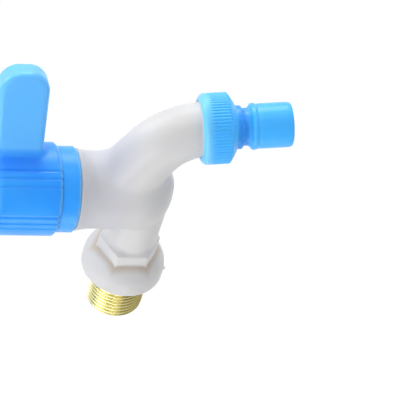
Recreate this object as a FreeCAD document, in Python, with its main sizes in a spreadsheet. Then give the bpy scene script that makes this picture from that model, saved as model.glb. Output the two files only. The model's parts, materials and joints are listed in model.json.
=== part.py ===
import FreeCAD, Part
import math
import os
import Sketcher

# A wall-mounted plastic bib tap with a quarter-turn lever and a screwed-on hose nozzle.
# Frame: the origin is on the inlet's axis, in the plane of the wall flange's back.
# +Y runs into the wall along the inlet thread, and +Z points up along the valve's axis.
# The spout leaves towards -Y and turns down. Lengths are millimetres, angles degrees.

document = FreeCAD.newDocument("PlasticFaucet")
sheet = document.addObject("Spreadsheet::Sheet", "Sizes")

driving_sizes = [
    # Moulded body, heights above the inlet axis
    ("valve_reach", 42.3, "wall face to valve axis"),
    ("barrel_r", 13.6, "valve barrel, outside radius"),
    ("barrel_foot", 3.6, "height where the barrel starts to round in below"),
    ("shoulder_up", 24.6, "height of the shoulder that the collar stands on"),
    ("flare_step", 0.9, "how far the barrel flares out to that shoulder"),
    ("flare_tall", 7.1, "height of the flare"),
    ("shoulder_wide", 1.9, "width of the shoulder outside the thread"),
    ("rim_tall", 4.0, "height of the threaded rim above the shoulder"),
    ("rim_wall", 2.2, "wall of the threaded rim round the valve chamber"),
    ("seat_up", 6.8, "height of the seat in the valve chamber"),
    ("seat_foot", -2.0, "height of the foot of the seat's pedestal"),
    ("seat_inset", 1.5, "gap round the seat's pedestal"),
    ("port_r", 4.5, "rising port through the seat"),
    ("inlet_bore_r", 4.8, "inlet waterway radius"),
    ("neck_drop", 0.7, "depth of the inlet neck's middle below the inlet axis"),
    ("neck_r_valve", 9.5, "inlet neck radius at the valve"),
    ("neck_r_hexagon", 8.7, "inlet neck radius at the hexagon"),
    ("dome_ahead", 4.0, "centre of the neck's domed end, ahead of the valve axis"),
    ("hexagon_across", 19.4, "hexagon across its flats"),
    ("hexagon_reach", 16.2, "wall face to the hexagon's front face"),
    ("hexagon_long", 4.2, "hexagon length along the inlet"),
    ("hexagon_sink", 1.2, "how far the hexagon runs on into the flange"),
    ("flange_rim", 4.6, "thickness of the flange's rim"),
    ("flange_step", 1.5, "flange's front edge beyond the inlet neck"),
    ("flange_crown_r", 16.0, "radius of the bulge of the flange's front"),
    ("flange_taper", 0.12, "how much the rim narrows towards the wall"),
    ("flange_wall", 1.75, "wall each side of the groove behind the flange"),
    ("flange_hollow", 2.6, "depth of the groove behind the flange"),
    ("flange_groove", 2.0, "width of that groove"),
    ("gate_r", 0.6, "radius of the moulding gate's stub on the rim"),
    ("gate_stub", 0.5, "height of the gate's stub"),
    ("gate_angle", 12.5, "angle of the gate round the rim from its lowest point"),
    # Spout, measured along its middle line
    ("spout_rise", 11.3, "height where the spout's middle line meets the valve axis"),
    ("spout_slope", 25.8, "slope of the spout's straight run below level"),
    ("spout_run", 24.2, "length of the spout's straight run"),
    ("spout_bend_r", 22.2, "radius of the spout's bend"),
    ("outlet_lean", 6.8, "lean of the outlet forward of straight down"),
    ("spout_r_valve", 11.2, "spout radius at the valve"),
    ("spout_wall_valve", 4.6, "wall of the spout at the valve"),
    ("spout_wall", 3.0, "wall of the spout at its outlet"),
    ("spout_buried", 1.0, "start of the spout, inside the barrel, past the valve axis"),
    ("waterway_buried", 5.0, "start of the spout's waterway, past the valve axis"),
    ("outlet_thread_r", 9.95, "outside of the outlet thread"),
    ("outlet_thread_deep", 0.75, "step from the spout up to its thread"),
    ("outlet_thread_long", 4.2, "length of the outlet thread"),
    ("outlet_end", 2.4, "end of the bend to the end of the spout"),
    ("spout_root_round", 2.5, "rounding where the spout meets the barrel"),
    # Brass inlet insert
    ("inlet_thread_r", 10.4775, "inlet thread, outside radius, for a pipe thread 20.955 across"),
    ("inlet_thread_long", 18.5, "thread that stands out of the flange"),
    ("inlet_thread_bevel", 1.0, "bevel at the thread's end"),
    ("inlet_thread_relief", 1.17, "plain length of the thread next to the flange"),
    ("inlet_thread_deep", 1.16, "depth of the inlet thread"),
    ("inlet_thread_crest", 0.3, "width of the inlet thread's crests"),
    ("inlet_thread_turns", 9, "turns of the inlet thread"),
    ("anchor_across", 16.4, "moulded-in hexagon across its flats"),
    ("anchor_long", 8.2, "length of the moulded-in hexagon"),
    ("insert_bore_r", 6.5, "bore of the insert"),
    # Collar that holds the cartridge down
    ("collar_step", 0.6, "collar's side beyond the barrel's flared shoulder"),
    ("collar_tall", 6.7, "height of the collar"),
    ("collar_bevel", 1.1, "bevel at the collar's lower edge"),
    ("collar_lip_gap", 0.7, "gap between the collar's lip and the cartridge's neck"),
    ("thread_clearance", 0.05, "radial clearance of the screwed joints"),
    # Cartridge
    ("cartridge_inset", 0.4, "edge of the cartridge's flange inside the rim's thread"),
    ("cartridge_flange", 1.4, "thickness of the cartridge's flange"),
    ("cartridge_land", 8.1, "length of the cartridge's sealing land"),
    ("skirt_gap", 1.1, "gap round the cartridge's skirt"),
    ("skirt_wall", 1.2, "wall of the skirt round the discs"),
    ("foot_gap", 1.0, "gap between the skirt's lower edge and the seat's level"),
    ("neck_wall", 1.94, "wall of the neck round the stem"),
    ("neck_stand", 2.1, "height of the neck above the collar"),
    ("window_wide", 9.0, "width of the cartridge's side windows"),
    ("window_rise", 0.3, "windows' lower edge above the moving disc's lower face"),
    ("window_over", 1.3, "windows' upper edge above the moving disc's upper face"),
    ("slip", 0.1, "clearance of parts that slip together"),
    ("running", 0.06, "radial clearance of a shaft in its bore"),
    ("ring_section", 1.8, "section of the rubber rings"),
    ("barrel_ring_down", 3.9, "cartridge's rubber ring below the rim's top"),
    ("stem_ring_up", 3.6, "stem's lower rubber ring above the thrust washer"),
    ("stem_ring_step", 5.0, "distance between the stem's rubber rings"),
    ("seal_thick", 2.2, "thickness of the seat seal"),
    ("seal_wide", 1.7, "width of the seat seal's ring"),
    ("disc_thick", 3.0, "thickness of each ceramic disc"),
    ("disc_port_in", 2.0, "inner radius of the discs' ports"),
    ("disc_rim", 1.9, "rim of the fixed disc outside its ports"),
    ("disc_port_angle", 80.0, "angle that each disc port spans"),
    ("tongue_wide", 3.0, "width of the stem's driving tongue"),
    ("tongue_deep", 1.2, "depth of the driving tongue"),
    ("tongue_inset", 1.6, "end of the tongue inside the disc's edge"),
    ("stem_r", 4.9, "stem radius in its bore"),
    ("stem_plate", 2.0, "thickness of the stem's driving plate"),
    ("washer_thick", 0.8, "thickness of the thrust washer"),
    ("stop_ring_thick", 1.5, "thickness of the stop ring"),
    ("stop_ring_inset", 0.3, "edge of the stop ring inside the neck's side"),
    ("stop_lug_deep", 1.6, "how far the stop lug reaches into the neck"),
    ("stop_lug_angle", 40.0, "angle that the stop lug spans"),
    ("stop_slack", 1.0, "slack of the stop lug at each end of its travel"),
    ("stem_flat_deep", 0.7, "depth of the flats that turn the stop ring"),
    ("clip_thick", 0.8, "thickness of the stem's retaining clip"),
    ("clip_groove", 0.7, "depth of the clip's groove"),
    ("clip_gap", 5.4, "opening of the clip"),
    ("spline_step", 1.0, "step from the stem in to its spline"),
    ("spline_over", 1.2, "start of the spline above the clip"),
    ("spline_cut_r", 0.45, "radius of the spline's grooves"),
    ("spline_count", 16, "number of the spline's grooves"),
    ("quarter_turn", 90.0, "travel of the lever"),
    ("rest_turn", 32.7, "how far the lever stands open, from closed over the spout"),
    # Handle
    ("cap_step", 1.3, "cap's side beyond the collar"),
    ("cap_gap", 0.3, "gap between the collar and the cap"),
    ("cap_bevel", 1.3, "bevel at the cap's lower edge"),
    ("cap_wall", 2.0, "wall of the cap"),
    ("cap_tall", 20.8, "lower edge of the cap to its rounded shoulder"),
    ("cap_shoulder_r", 4.2, "rounding of the cap's upper edge"),
    ("crown_inset", 3.8, "crown's edge inside the cap's side"),
    ("crown_over", 3.4, "crown's edge above the shoulder"),
    ("crown_bulge", 0.6, "bulge of the crown's middle"),
    ("hub_wall", 2.7, "wall of the hub round the spline"),
    ("hub_over", 0.2, "hub's lower end above the start of the spline"),
    ("grip_r", 0.55, "radius of the cap's grip grooves"),
    ("grip_deep", 0.4, "depth of the grip grooves"),
    ("grip_angle", 10.2, "angle between the grooves of a group"),
    ("grip_group_angle", 60.0, "angle from one group of grooves to the next"),
    ("grip_groups", 5, "groups of grooves, one angle apart, clear of the lever"),
    ("grip_low", 0.4, "lower edge of the cap to the grooves"),
    ("lever_reach", 44.8, "valve axis to the lever's tip"),
    ("lever_low", 4.9, "lever's lower edge above the cap's, at the tip"),
    ("lever_root_low", 5.7, "lever's lower edge above the cap's, at the root"),
    ("lever_over", 2.2, "lever's upper edge above the cap's shoulder"),
    ("lever_thick", 8.6, "thickness of the lever"),
    ("lever_tip_r", 8.0, "rounding of the lever's tip, seen from its side"),
    ("lever_edge_round", 3.4, "rounding of the lever's edges"),
    ("lever_buried", 1.3, "how far the lever's root runs into the cap's wall"),
    ("screw_r", 2.0, "handle screw's shank radius"),
    ("screw_long", 9.0, "shank length below the washer"),
    ("screw_head_step", 1.7, "screw head beyond its shank"),
    ("screw_head", 2.4, "height of the screw's head"),
    ("screw_crown_inset", 1.5, "rounding of the head, in from its side"),
    ("screw_slot", 0.9, "width of the cross slot in the screw's head"),
    ("screw_slot_long", 4.5, "length of the cross slot"),
    ("screw_slot_deep", 1.4, "depth of the cross slot"),
    ("screw_washer_thick", 0.8, "washer under the screw's head"),
    ("screw_web", 1.6, "web of the hub under the screw's washer"),
    ("well_deep", 6.1, "depth of the screw's well below the crown"),
    ("well_gap", 1.2, "gap round the screw's washer in the well"),
    ("plug_skirt", 1.4, "how far the index plug's rim goes down"),
    ("plug_rim", 1.0, "thickness of the index plug's rim"),
    ("plug_cover", 1.3, "thickness of the index plug's cover"),
    ("plug_edge", 0.4, "bevel of the index plug's edge"),
    # Ring nut and nozzle, down the outlet's axis
    ("nut_over", 5.5, "top of the nut above the end of the spout"),
    ("nut_wall", 2.35, "nut's wall outside the outlet thread, over its knurl"),
    ("nut_top_wall", 0.8, "nut's wall at its top edge"),
    ("nut_top_bevel", 1.1, "height of the bevel above the knurl"),
    ("knurl_long", 8.7, "length of the knurl"),
    ("nut_cone", 2.4, "height of the cone below the knurl"),
    ("nut_end_wall", 0.85, "nut's wall at its lower end"),
    ("nut_hole_gap", 0.15, "gap between the nut's hole and the nozzle's shank"),
    ("knurl_count", 66, "ribs of the knurl"),
    ("knurl_cut_r", 0.4, "radius of the knurl's grooves"),
    ("knurl_deep", 0.32, "depth of the knurl's grooves"),
    ("nozzle_washer_thick", 1.7, "thickness of the nozzle's washer"),
    ("nozzle_flange_thick", 1.7, "thickness of the nozzle's flange"),
    ("nozzle_flange_gap", 0.25, "edge of the nozzle's flange inside the outlet thread"),
    ("nozzle_barrel_r", 7.85, "radius of the barrel that a hose connector grips"),
    ("nozzle_shank_in", 0.3, "shank's side inside the barrel's"),
    ("nozzle_shank_out", 2.2, "shank below the nut"),
    ("nozzle_shank_bevel", 0.4, "bevel at the end of the shank"),
    ("nozzle_groove_deep", 1.3, "depth of the latch groove"),
    ("nozzle_groove_long", 2.5, "length of the latch groove"),
    ("nozzle_bead_rise", 1.1, "slope from the groove up to the bead"),
    ("nozzle_bead_step", 0.3, "bead's side beyond the barrel's"),
    ("nozzle_bead_long", 1.2, "length of the bead"),
    ("nozzle_waist_deep", 0.12, "depth of the waist under the bead"),
    ("nozzle_waist_long", 1.0, "length of the waist"),
    ("nozzle_barrel_long", 11.8, "length of the barrel"),
    ("nozzle_end_round", 0.9, "rounding of the nozzle's end"),
    ("nozzle_wall", 0.95, "wall of the nozzle at its groove"),
    ("overcut", 1.0, "how far a cut runs on past the face that it opens"),
]


def fill_sheet():
    for row, (alias, value, note) in enumerate(driving_sizes, start=1):
        sheet.set("A%d" % row, note)
        sheet.set("B%d" % row, str(value))
        sheet.setAlias("B%d" % row, alias)
    document.recompute()


class Size:
    """A number together with the sheet's expression that gives it."""

    def __init__(self, value, text):
        self.value = float(value)
        self.text = text

    def __add__(self, other):
        return Size(self.value + number(other), "(%s + %s)" % (self.text, wording(other)))

    def __radd__(self, other):
        return Size(number(other) + self.value, "(%s + %s)" % (wording(other), self.text))

    def __sub__(self, other):
        return Size(self.value - number(other), "(%s - %s)" % (self.text, wording(other)))

    def __rsub__(self, other):
        return Size(number(other) - self.value, "(%s - %s)" % (wording(other), self.text))

    def __mul__(self, other):
        return Size(self.value * number(other), "(%s * %s)" % (self.text, wording(other)))

    def __rmul__(self, other):
        return self * other

    def __truediv__(self, other):
        return Size(self.value / number(other), "(%s / %s)" % (self.text, wording(other)))

    def __neg__(self):
        return Size(-self.value, "(0 - %s)" % self.text)


def number(term):
    return term.value if isinstance(term, Size) else float(term)


def wording(term):
    return term.text if isinstance(term, Size) else "(%r)" % float(term)


def smaller(first, second):
    """The smaller of two sizes, for a rounding that its wall limits."""
    both = (wording(first), wording(second))
    return Size(min(number(first), number(second)), "min(%s; %s)" % both)


def cosine(angle):
    return Size(math.cos(math.radians(number(angle))), "cos(%s * 1deg)" % wording(angle))


def sine(angle):
    return Size(math.sin(math.radians(number(angle))), "sin(%s * 1deg)" % wording(angle))


class SheetSizes:
    """Gives each driving size by its alias."""

    def __getattr__(self, alias):
        return Size(sheet.get(alias), "Sizes." + alias)


fill_sheet()
size = SheetSizes()

# Largest share of the lever's height that one rounding of its tip may take
lever_tip_share = 0.48

# The body's radii, from the barrel outwards and inwards
flare_r = size.barrel_r + size.flare_step
collar_r = flare_r + size.collar_step
cap_r = collar_r + size.cap_step
body_thread_r = flare_r - size.shoulder_wide
chamber_r = body_thread_r - size.rim_wall
seat_r = chamber_r - size.seat_inset
collar_bore_r = body_thread_r + size.thread_clearance

# The inlet, from the valve axis to the wall
anchor_start = size.valve_reach - size.anchor_long
anchor_corner_r = size.anchor_across / (2 * cosine(30))
flange_r = anchor_corner_r + size.flange_groove + 2 * size.flange_wall
flange_front_r = size.neck_r_hexagon + size.flange_step
rim_front = size.valve_reach - size.flange_rim
hexagon_front = size.valve_reach - size.hexagon_reach
hexagon_back = hexagon_front + size.hexagon_long
hexagon_corner_r = size.hexagon_across / (2 * cosine(30))

# The cartridge's radii
cartridge_land_r = chamber_r - size.slip
cartridge_flange_r = body_thread_r - size.cartridge_inset
cartridge_skirt_r = chamber_r - size.skirt_gap
cartridge_bore_r = cartridge_skirt_r - size.skirt_wall
disc_r = cartridge_bore_r - 2 * size.slip
disc_port_out = disc_r - size.disc_rim
seal_r = cartridge_bore_r - size.slip
stem_bore_r = size.stem_r + size.running
cartridge_neck_r = stem_bore_r + size.neck_wall
collar_lip_r = cartridge_neck_r + size.collar_lip_gap
barrel_ring_root_r = chamber_r - size.ring_section
stem_ring_root_r = size.stem_r - size.ring_section
stop_ring_r = cartridge_neck_r - size.stop_ring_inset
stem_flat = size.stem_r - size.stem_flat_deep
clip_root_r = size.stem_r - size.clip_groove
spline_r = size.stem_r - size.spline_step

# The cartridge's stack, from the seat upwards
fixed_disc_low = size.seat_up + size.seal_thick
moving_disc_low = fixed_disc_low + size.disc_thick
plate_low = moving_disc_low + size.disc_thick
plate_top = plate_low + size.stem_plate
bore_ceiling = plate_top + size.washer_thick + size.slip
stem_ring_low = bore_ceiling + size.stem_ring_up
stem_ring_high = stem_ring_low + size.stem_ring_step
body_top = size.shoulder_up + size.rim_tall
collar_top = size.shoulder_up + size.collar_tall
barrel_ring_up = body_top - size.barrel_ring_down
cartridge_flange_top = body_top + size.cartridge_flange
cartridge_neck_top = collar_top + size.neck_stand
stop_ring_low = cartridge_neck_top + size.slip
clip_low = stop_ring_low + size.stop_ring_thick
clip_top = clip_low + size.clip_thick
spline_low = clip_top + size.spline_over
hub_low = spline_low + size.hub_over

# The handle, from its lower edge to its crown and down to the screw
cap_low = collar_top + size.cap_gap
cap_shoulder = cap_low + size.cap_tall
crown_edge_r = cap_r - size.crown_inset
crown_edge_up = cap_shoulder + size.crown_over
cap_top = crown_edge_up + size.crown_bulge
web_top = cap_top - size.well_deep
spline_top = web_top - size.screw_web - size.slip
screw_head_low = web_top + size.screw_washer_thick
screw_head_top = screw_head_low + size.screw_head
screw_head_r = size.screw_r + size.screw_head_step
screw_washer_r = screw_head_r + size.slip
well_r = screw_washer_r + size.well_gap

# The outlet's radii, and its stack down the axis from the end of the bend
spout_r_outlet = size.outlet_thread_r - size.outlet_thread_deep
spout_bore_r_valve = size.spout_r_valve - size.spout_wall_valve
spout_bore_r = spout_r_outlet - size.spout_wall
nut_bore_r = size.outlet_thread_r + size.thread_clearance
nut_r = nut_bore_r + size.nut_wall
nozzle_shank_r = size.nozzle_barrel_r - size.nozzle_shank_in
nozzle_groove_r = size.nozzle_barrel_r - size.nozzle_groove_deep
nozzle_bore_r = nozzle_groove_r - size.nozzle_wall
nozzle_flange_r = size.outlet_thread_r - size.nozzle_flange_gap
nut_hole_r = nozzle_shank_r + size.nut_hole_gap
nut_start = size.outlet_end - size.nut_over
knurl_start = nut_start + size.nut_top_bevel
knurl_end = knurl_start + size.knurl_long
nut_end = knurl_end + size.nut_cone
washer_end = size.outlet_end + size.nozzle_washer_thick
nozzle_flange_end = washer_end + size.nozzle_flange_thick
shank_end = nut_end + size.nozzle_shank_out
groove_start = shank_end + size.nozzle_shank_bevel
groove_end = shank_end + size.nozzle_groove_long
bead_start = groove_end + size.nozzle_bead_rise
bead_end = bead_start + size.nozzle_bead_long
waist_end = bead_end + size.nozzle_waist_long
nozzle_end = waist_end + size.nozzle_barrel_long

# The spout's middle line in the valve's plane, as (along Y, up Z) from the valve axis
run_along = -cosine(size.spout_slope)
run_up = -sine(size.spout_slope)
outlet_along = -sine(size.outlet_lean)
outlet_up = -cosine(size.outlet_lean)
bend_start = (size.spout_run * run_along, size.spout_rise + size.spout_run * run_up)
bend_middle = (bend_start[0] - size.spout_bend_r * run_up, bend_start[1] + size.spout_bend_r * run_along)
bend_end = (bend_middle[0] + size.spout_bend_r * outlet_up,
            bend_middle[1] - size.spout_bend_r * outlet_along)


def on_run(distance):
    return (distance * run_along, size.spout_rise + distance * run_up)


def on_outlet(distance):
    return (bend_end[0] + distance * outlet_along, bend_end[1] + distance * outlet_up)


def new_body(label, along=0, turn=None, outlet=False):
    """A body on the valve axis, or, with outlet, on the outlet's axis at the end of the bend."""
    body = document.addObject("PartDesign::Body", "Body_" + label)
    body.Label = label
    if outlet:
        lean = number(size.outlet_lean)
        body.Placement.Rotation = FreeCAD.Rotation(FreeCAD.Vector(-1, 0, 0), lean)
        body.setExpression("Placement.Rotation.Angle", wording(size.outlet_lean))
        body.setExpression("Placement.Base.y", wording(bend_end[0] - size.valve_reach))
        body.setExpression("Placement.Base.z", wording(bend_end[1]))
    else:
        body.setExpression("Placement.Base.y", wording(along))
    if turn is not None:
        body.Placement.Rotation = FreeCAD.Rotation(FreeCAD.Vector(0, 0, 1), number(turn))
        body.setExpression("Placement.Rotation.Angle", wording(turn))
    return body


def valve_body(label):
    return new_body(label, along=-size.valve_reach)


def turning_body(label):
    return new_body(label, along=-size.valve_reach, turn=size.rest_turn)


def sketch_on(body, role, name, lift=0, tilt=None, shift=(0, 0)):
    """A sketch on one of the body's own planes, moved along its normal and tilted about its X."""
    plane = [item for item in body.Origin.OriginFeatures if item.Role == role][0]
    sketch = body.newObject("Sketcher::SketchObject", name)
    sketch.AttachmentSupport = [(plane, "")]
    sketch.MapMode = "FlatFace"
    if tilt is not None:
        turned = FreeCAD.Rotation(FreeCAD.Vector(1, 0, 0), number(tilt))
        sketch.AttachmentOffset = FreeCAD.Placement(FreeCAD.Vector(0, 0, 0), turned)
        sketch.setExpression(".AttachmentOffset.Rotation.Angle", wording(tilt))
    for axis, amount in zip("xyz", (shift[0], shift[1], lift)):
        if isinstance(amount, Size) or amount:
            sketch.setExpression(".AttachmentOffset.Base." + axis, wording(amount))
    return sketch


def tie(sketch, geometry, end, across, up):
    """Holds one point of the sketch at its place, across and up from the sketch's origin."""
    for kind, place, axis in (("DistanceX", across, -2), ("DistanceY", up, -1)):
        if not isinstance(place, Size) and not place:
            sketch.addConstraint(Sketcher.Constraint("PointOnObject", geometry, end, axis))
            continue
        datum = Sketcher.Constraint(kind, -1, 1, geometry, end, number(place))
        index = sketch.addConstraint(datum)
        if isinstance(place, Size):
            sketch.setExpression("Constraints[%d]" % index, place.text)


def draw_chain(sketch, corners, closed=True):
    """Lines and arcs through the corners. A corner is (across, up), or (across, up, radius, side)
    where an arc leaves it: side is 1 for an arc that bows to the right of its way, -1 to the left."""
    count = len(corners)
    last = count if closed else count - 1
    ends = []
    for index in range(last):
        here = corners[index]
        there = corners[(index + 1) % count]
        start = FreeCAD.Vector(number(here[0]), number(here[1]), 0)
        finish = FreeCAD.Vector(number(there[0]), number(there[1]), 0)
        if len(here) == 2:
            geometry = sketch.addGeometry(Part.LineSegment(start, finish), False)
            ends.append((geometry, 1, 2))
            continue
        radius = number(here[2])
        chord = finish - start
        right = FreeCAD.Vector(chord.y, -chord.x, 0).normalize() * here[3]
        depth = math.sqrt(max(radius ** 2 - (chord.Length / 2) ** 2, 0))
        top = (start + finish) / 2 + right * (radius - depth)
        forward = here[3] > 0
        arc = Part.Arc(start, top, finish) if forward else Part.Arc(finish, top, start)
        geometry = sketch.addGeometry(arc, False)
        ends.append((geometry, 1, 2) if forward else (geometry, 2, 1))
        index_radius = sketch.addConstraint(Sketcher.Constraint("Radius", geometry, radius))
        if isinstance(here[2], Size):
            sketch.setExpression("Constraints[%d]" % index_radius, here[2].text)
    for index, (geometry, start_end, finish_end) in enumerate(ends):
        tie(sketch, geometry, start_end, corners[index][0], corners[index][1])
        if closed or index + 1 < last:
            following = ends[(index + 1) % len(ends)]
            joined = Sketcher.Constraint("Coincident", geometry, finish_end, following[0], following[1])
            sketch.addConstraint(joined)
        else:
            tie(sketch, geometry, finish_end, corners[-1][0], corners[-1][1])
    return sketch


def draw_circle(sketch, radius, across=0, up=0):
    centre = FreeCAD.Vector(number(across), number(up), 0)
    circle = Part.Circle(centre, FreeCAD.Vector(0, 0, 1), number(radius))
    geometry = sketch.addGeometry(circle, False)
    index = sketch.addConstraint(Sketcher.Constraint("Radius", geometry, number(radius)))
    if isinstance(radius, Size):
        sketch.setExpression("Constraints[%d]" % index, radius.text)
    tie(sketch, geometry, 3, across, up)
    return sketch


def polar(radius, angle):
    return (radius * cosine(angle), radius * sine(angle))


def sector(inner_r, outer_r, first, last):
    """A ring sector between two angles, counted from across towards up."""
    inner_start = polar(inner_r, first)
    outer_start = polar(outer_r, first)
    outer_end = polar(outer_r, last)
    inner_end = polar(inner_r, last)
    return [inner_start, outer_start + (outer_r, 1), outer_end, inner_end + (inner_r, -1)]


def hexagon_corners(corner_r):
    """Six corners, the first straight up, so that two flats stand at the sides."""
    return [(corner_r * sine(60 * turn), corner_r * cosine(60 * turn)) for turn in range(6)]


def turned(body, name, corners, cut=False, about_inlet=False, drop=0):
    """Turns an outline about the valve axis, or about the inlet's."""
    if about_inlet:
        sketch = sketch_on(body, "YZ_Plane", name + "_outline", shift=(0, -drop))
    else:
        sketch = sketch_on(body, "XZ_Plane", name + "_outline")
    draw_chain(sketch, corners)
    kind = "PartDesign::Groove" if cut else "PartDesign::Revolution"
    feature = body.newObject(kind, name)
    feature.Profile = sketch
    feature.ReferenceAxis = (sketch, ["H_Axis" if about_inlet else "V_Axis"])
    feature.Angle = 360
    document.recompute()
    return feature


def padded(body, name, sketch, length, cut=False, middle=False, reversed_way=False):
    """Pads or pockets a sketch along its normal."""
    feature = body.newObject("PartDesign::Pocket" if cut else "PartDesign::Pad", name)
    feature.Profile = sketch
    feature.setExpression("Length", wording(length))
    feature.Midplane = middle
    feature.Reversed = reversed_way
    document.recompute()
    return feature


def patterned(body, name, originals, count, span=360):
    """Repeats features round the body's own upright axis."""
    axis = [item for item in body.Origin.OriginFeatures if item.Role == "Z_Axis"][0]
    pattern = body.newObject("PartDesign::PolarPattern", name)
    pattern.Originals = originals
    pattern.Axis = (axis, [""])
    pattern.setExpression("Angle", wording(span))
    pattern.setExpression("Occurrences", wording(count))
    body.Tip = pattern
    document.recompute()
    return pattern


def repeated(body, name, originals, count, span):
    """Repeats features along the inlet's axis over a length."""
    axis = [item for item in body.Origin.OriginFeatures if item.Role == "Y_Axis"][0]
    pattern = body.newObject("PartDesign::LinearPattern", name)
    pattern.Originals = originals
    pattern.Direction = (axis, [""])
    pattern.setExpression("Length", wording(span))
    pattern.setExpression("Occurrences", wording(count))
    body.Tip = pattern
    document.recompute()
    return pattern


def rounded(body, name, base, test, radius):
    """Rounds the edges of a feature that pass a test."""
    names = ["Edge%d" % (index + 1) for index, edge in enumerate(base.Shape.Edges) if test(edge)]
    if not names:
        raise ValueError("no edge found to round for " + name)
    fillet = body.newObject("PartDesign::Fillet", name)
    fillet.Base = (base, names)
    fillet.setExpression("Radius", wording(radius))
    document.recompute()
    return fillet


def spout_path(body, name, first, last):
    """The spout's middle line from a distance along the run to one past the bend."""
    sketch = sketch_on(body, "YZ_Plane", name)
    start = on_run(first)
    finish = on_outlet(last)
    corners = [start, (bend_start[0], bend_start[1], size.spout_bend_r, 1), bend_end, finish]
    return draw_chain(sketch, corners, closed=False)


def spout_section(body, name, place, slope, radius):
    sketch = sketch_on(body, "XZ_Plane", name, lift=-place[0], tilt=slope, shift=(0, place[1]))
    return draw_circle(sketch, radius)


def spout_tube(body, name, first, last, start_r, end_r, cut=False):
    """A tube along the spout, from one radius at the valve to another at the outlet."""
    path = spout_path(body, name + "_path", first, last)
    start = spout_section(body, name + "_start", on_run(first), size.spout_slope, start_r)
    finish = spout_section(body, name + "_finish", on_outlet(last), 90 - size.outlet_lean, end_r)
    document.recompute()
    kind = "PartDesign::SubtractivePipe" if cut else "PartDesign::AdditivePipe"
    pipe = body.newObject(kind, name)
    pipe.Profile = start
    pipe.Spine = (path, ["Edge1", "Edge2", "Edge3"])
    pipe.Sections = [finish]
    pipe.Transformation = "Multisection"
    document.recompute()
    return pipe


def make_faucet_body():
    """One white moulding: valve barrel, spout, inlet neck, hexagon and wall flange."""
    body = valve_body("faucet_body")
    flare_square = size.flare_tall * size.flare_tall + size.flare_step * size.flare_step
    flare_arc_r = flare_square / (2 * size.flare_step)
    turned(body, "barrel", [
        (0, size.barrel_foot - size.barrel_r, size.barrel_r, 1),
        (size.barrel_r, size.barrel_foot),
        (size.barrel_r, size.shoulder_up - size.flare_tall, flare_arc_r, -1),
        (flare_r, size.shoulder_up),
        (body_thread_r, size.shoulder_up),
        (body_thread_r, body_top),
        (0, body_top),
    ])
    spout = spout_tube(body, "spout", size.spout_buried, size.outlet_end, size.spout_r_valve,
                       spout_r_outlet)

    def on_root(edge):
        box = edge.BoundBox
        return box.YMax < 0 and box.YMin > -number(flare_r)

    rounded(body, "spout_root", spout, on_root, size.spout_root_round)
    thread_start = on_outlet(size.outlet_end - size.outlet_thread_long)
    thread_ring = spout_section(body, "outlet_thread_ring", thread_start, 90 - size.outlet_lean,
                                size.outlet_thread_r)
    padded(body, "outlet_thread", thread_ring, size.outlet_thread_long)
    turned(body, "inlet_neck", [
        (-size.dome_ahead - size.neck_r_valve, 0, size.neck_r_valve, -1),
        (-size.dome_ahead, size.neck_r_valve),
        (hexagon_front + size.hexagon_long, size.neck_r_hexagon),
        (hexagon_front + size.hexagon_long, 0),
    ], about_inlet=True, drop=size.neck_drop)
    turned(body, "wall_flange", [
        (hexagon_back, 0),
        (hexagon_back, flange_front_r, size.flange_crown_r, -1),
        (rim_front, flange_r),
        (size.valve_reach, flange_r - size.flange_taper),
        (size.valve_reach, 0),
    ], about_inlet=True)
    hexagon = sketch_on(body, "XZ_Plane", "hexagon_outline", lift=-hexagon_front)
    draw_chain(hexagon, hexagon_corners(hexagon_corner_r))
    padded(body, "hexagon", hexagon, size.hexagon_long + size.hexagon_sink, reversed_way=True)
    gate_down = flange_r * cosine(size.gate_angle)
    gate = sketch_on(body, "XY_Plane", "gate_outline", lift=-gate_down - size.gate_stub)
    gate_aside = -flange_r * sine(size.gate_angle)
    draw_circle(gate, size.gate_r, across=gate_aside, up=rim_front + size.flange_rim / 2)
    padded(body, "gate", gate, 2 * size.gate_stub)

    turned(body, "chamber", [
        (0, size.seat_up),
        (chamber_r, size.seat_up),
        (chamber_r, body_top + size.overcut),
        (0, body_top + size.overcut),
    ], cut=True)
    spout_tube(body, "spout_waterway", size.waterway_buried, size.outlet_end + size.overcut,
               spout_bore_r_valve, spout_bore_r, cut=True)
    turned(body, "seat_pedestal", [
        (0, size.seat_foot),
        (seat_r, size.seat_foot),
        (seat_r, size.seat_up),
        (0, size.seat_up),
    ])
    turned(body, "rising_port", [
        (0, 0),
        (size.port_r, 0),
        (size.port_r, size.seat_up + size.overcut),
        (0, size.seat_up + size.overcut),
    ], cut=True)
    turned(body, "inlet_waterway", [
        (-size.inlet_bore_r, 0, size.inlet_bore_r, -1),
        (0, size.inlet_bore_r),
        (anchor_start + size.overcut, size.inlet_bore_r),
        (anchor_start + size.overcut, 0),
    ], cut=True, about_inlet=True)
    anchor = sketch_on(body, "XZ_Plane", "anchor_outline", lift=-size.valve_reach)
    draw_chain(anchor, hexagon_corners(anchor_corner_r))
    padded(body, "anchor_pocket", anchor, size.anchor_long, cut=True, reversed_way=True)
    groove_in = anchor_corner_r + size.flange_wall
    groove_out = groove_in + size.flange_groove
    turned(body, "flange_groove", [
        (size.valve_reach - size.flange_hollow, groove_in),
        (size.valve_reach + size.overcut, groove_in),
        (size.valve_reach + size.overcut, groove_out),
        (size.valve_reach - size.flange_hollow, groove_out),
    ], cut=True, about_inlet=True)
    return body


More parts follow.
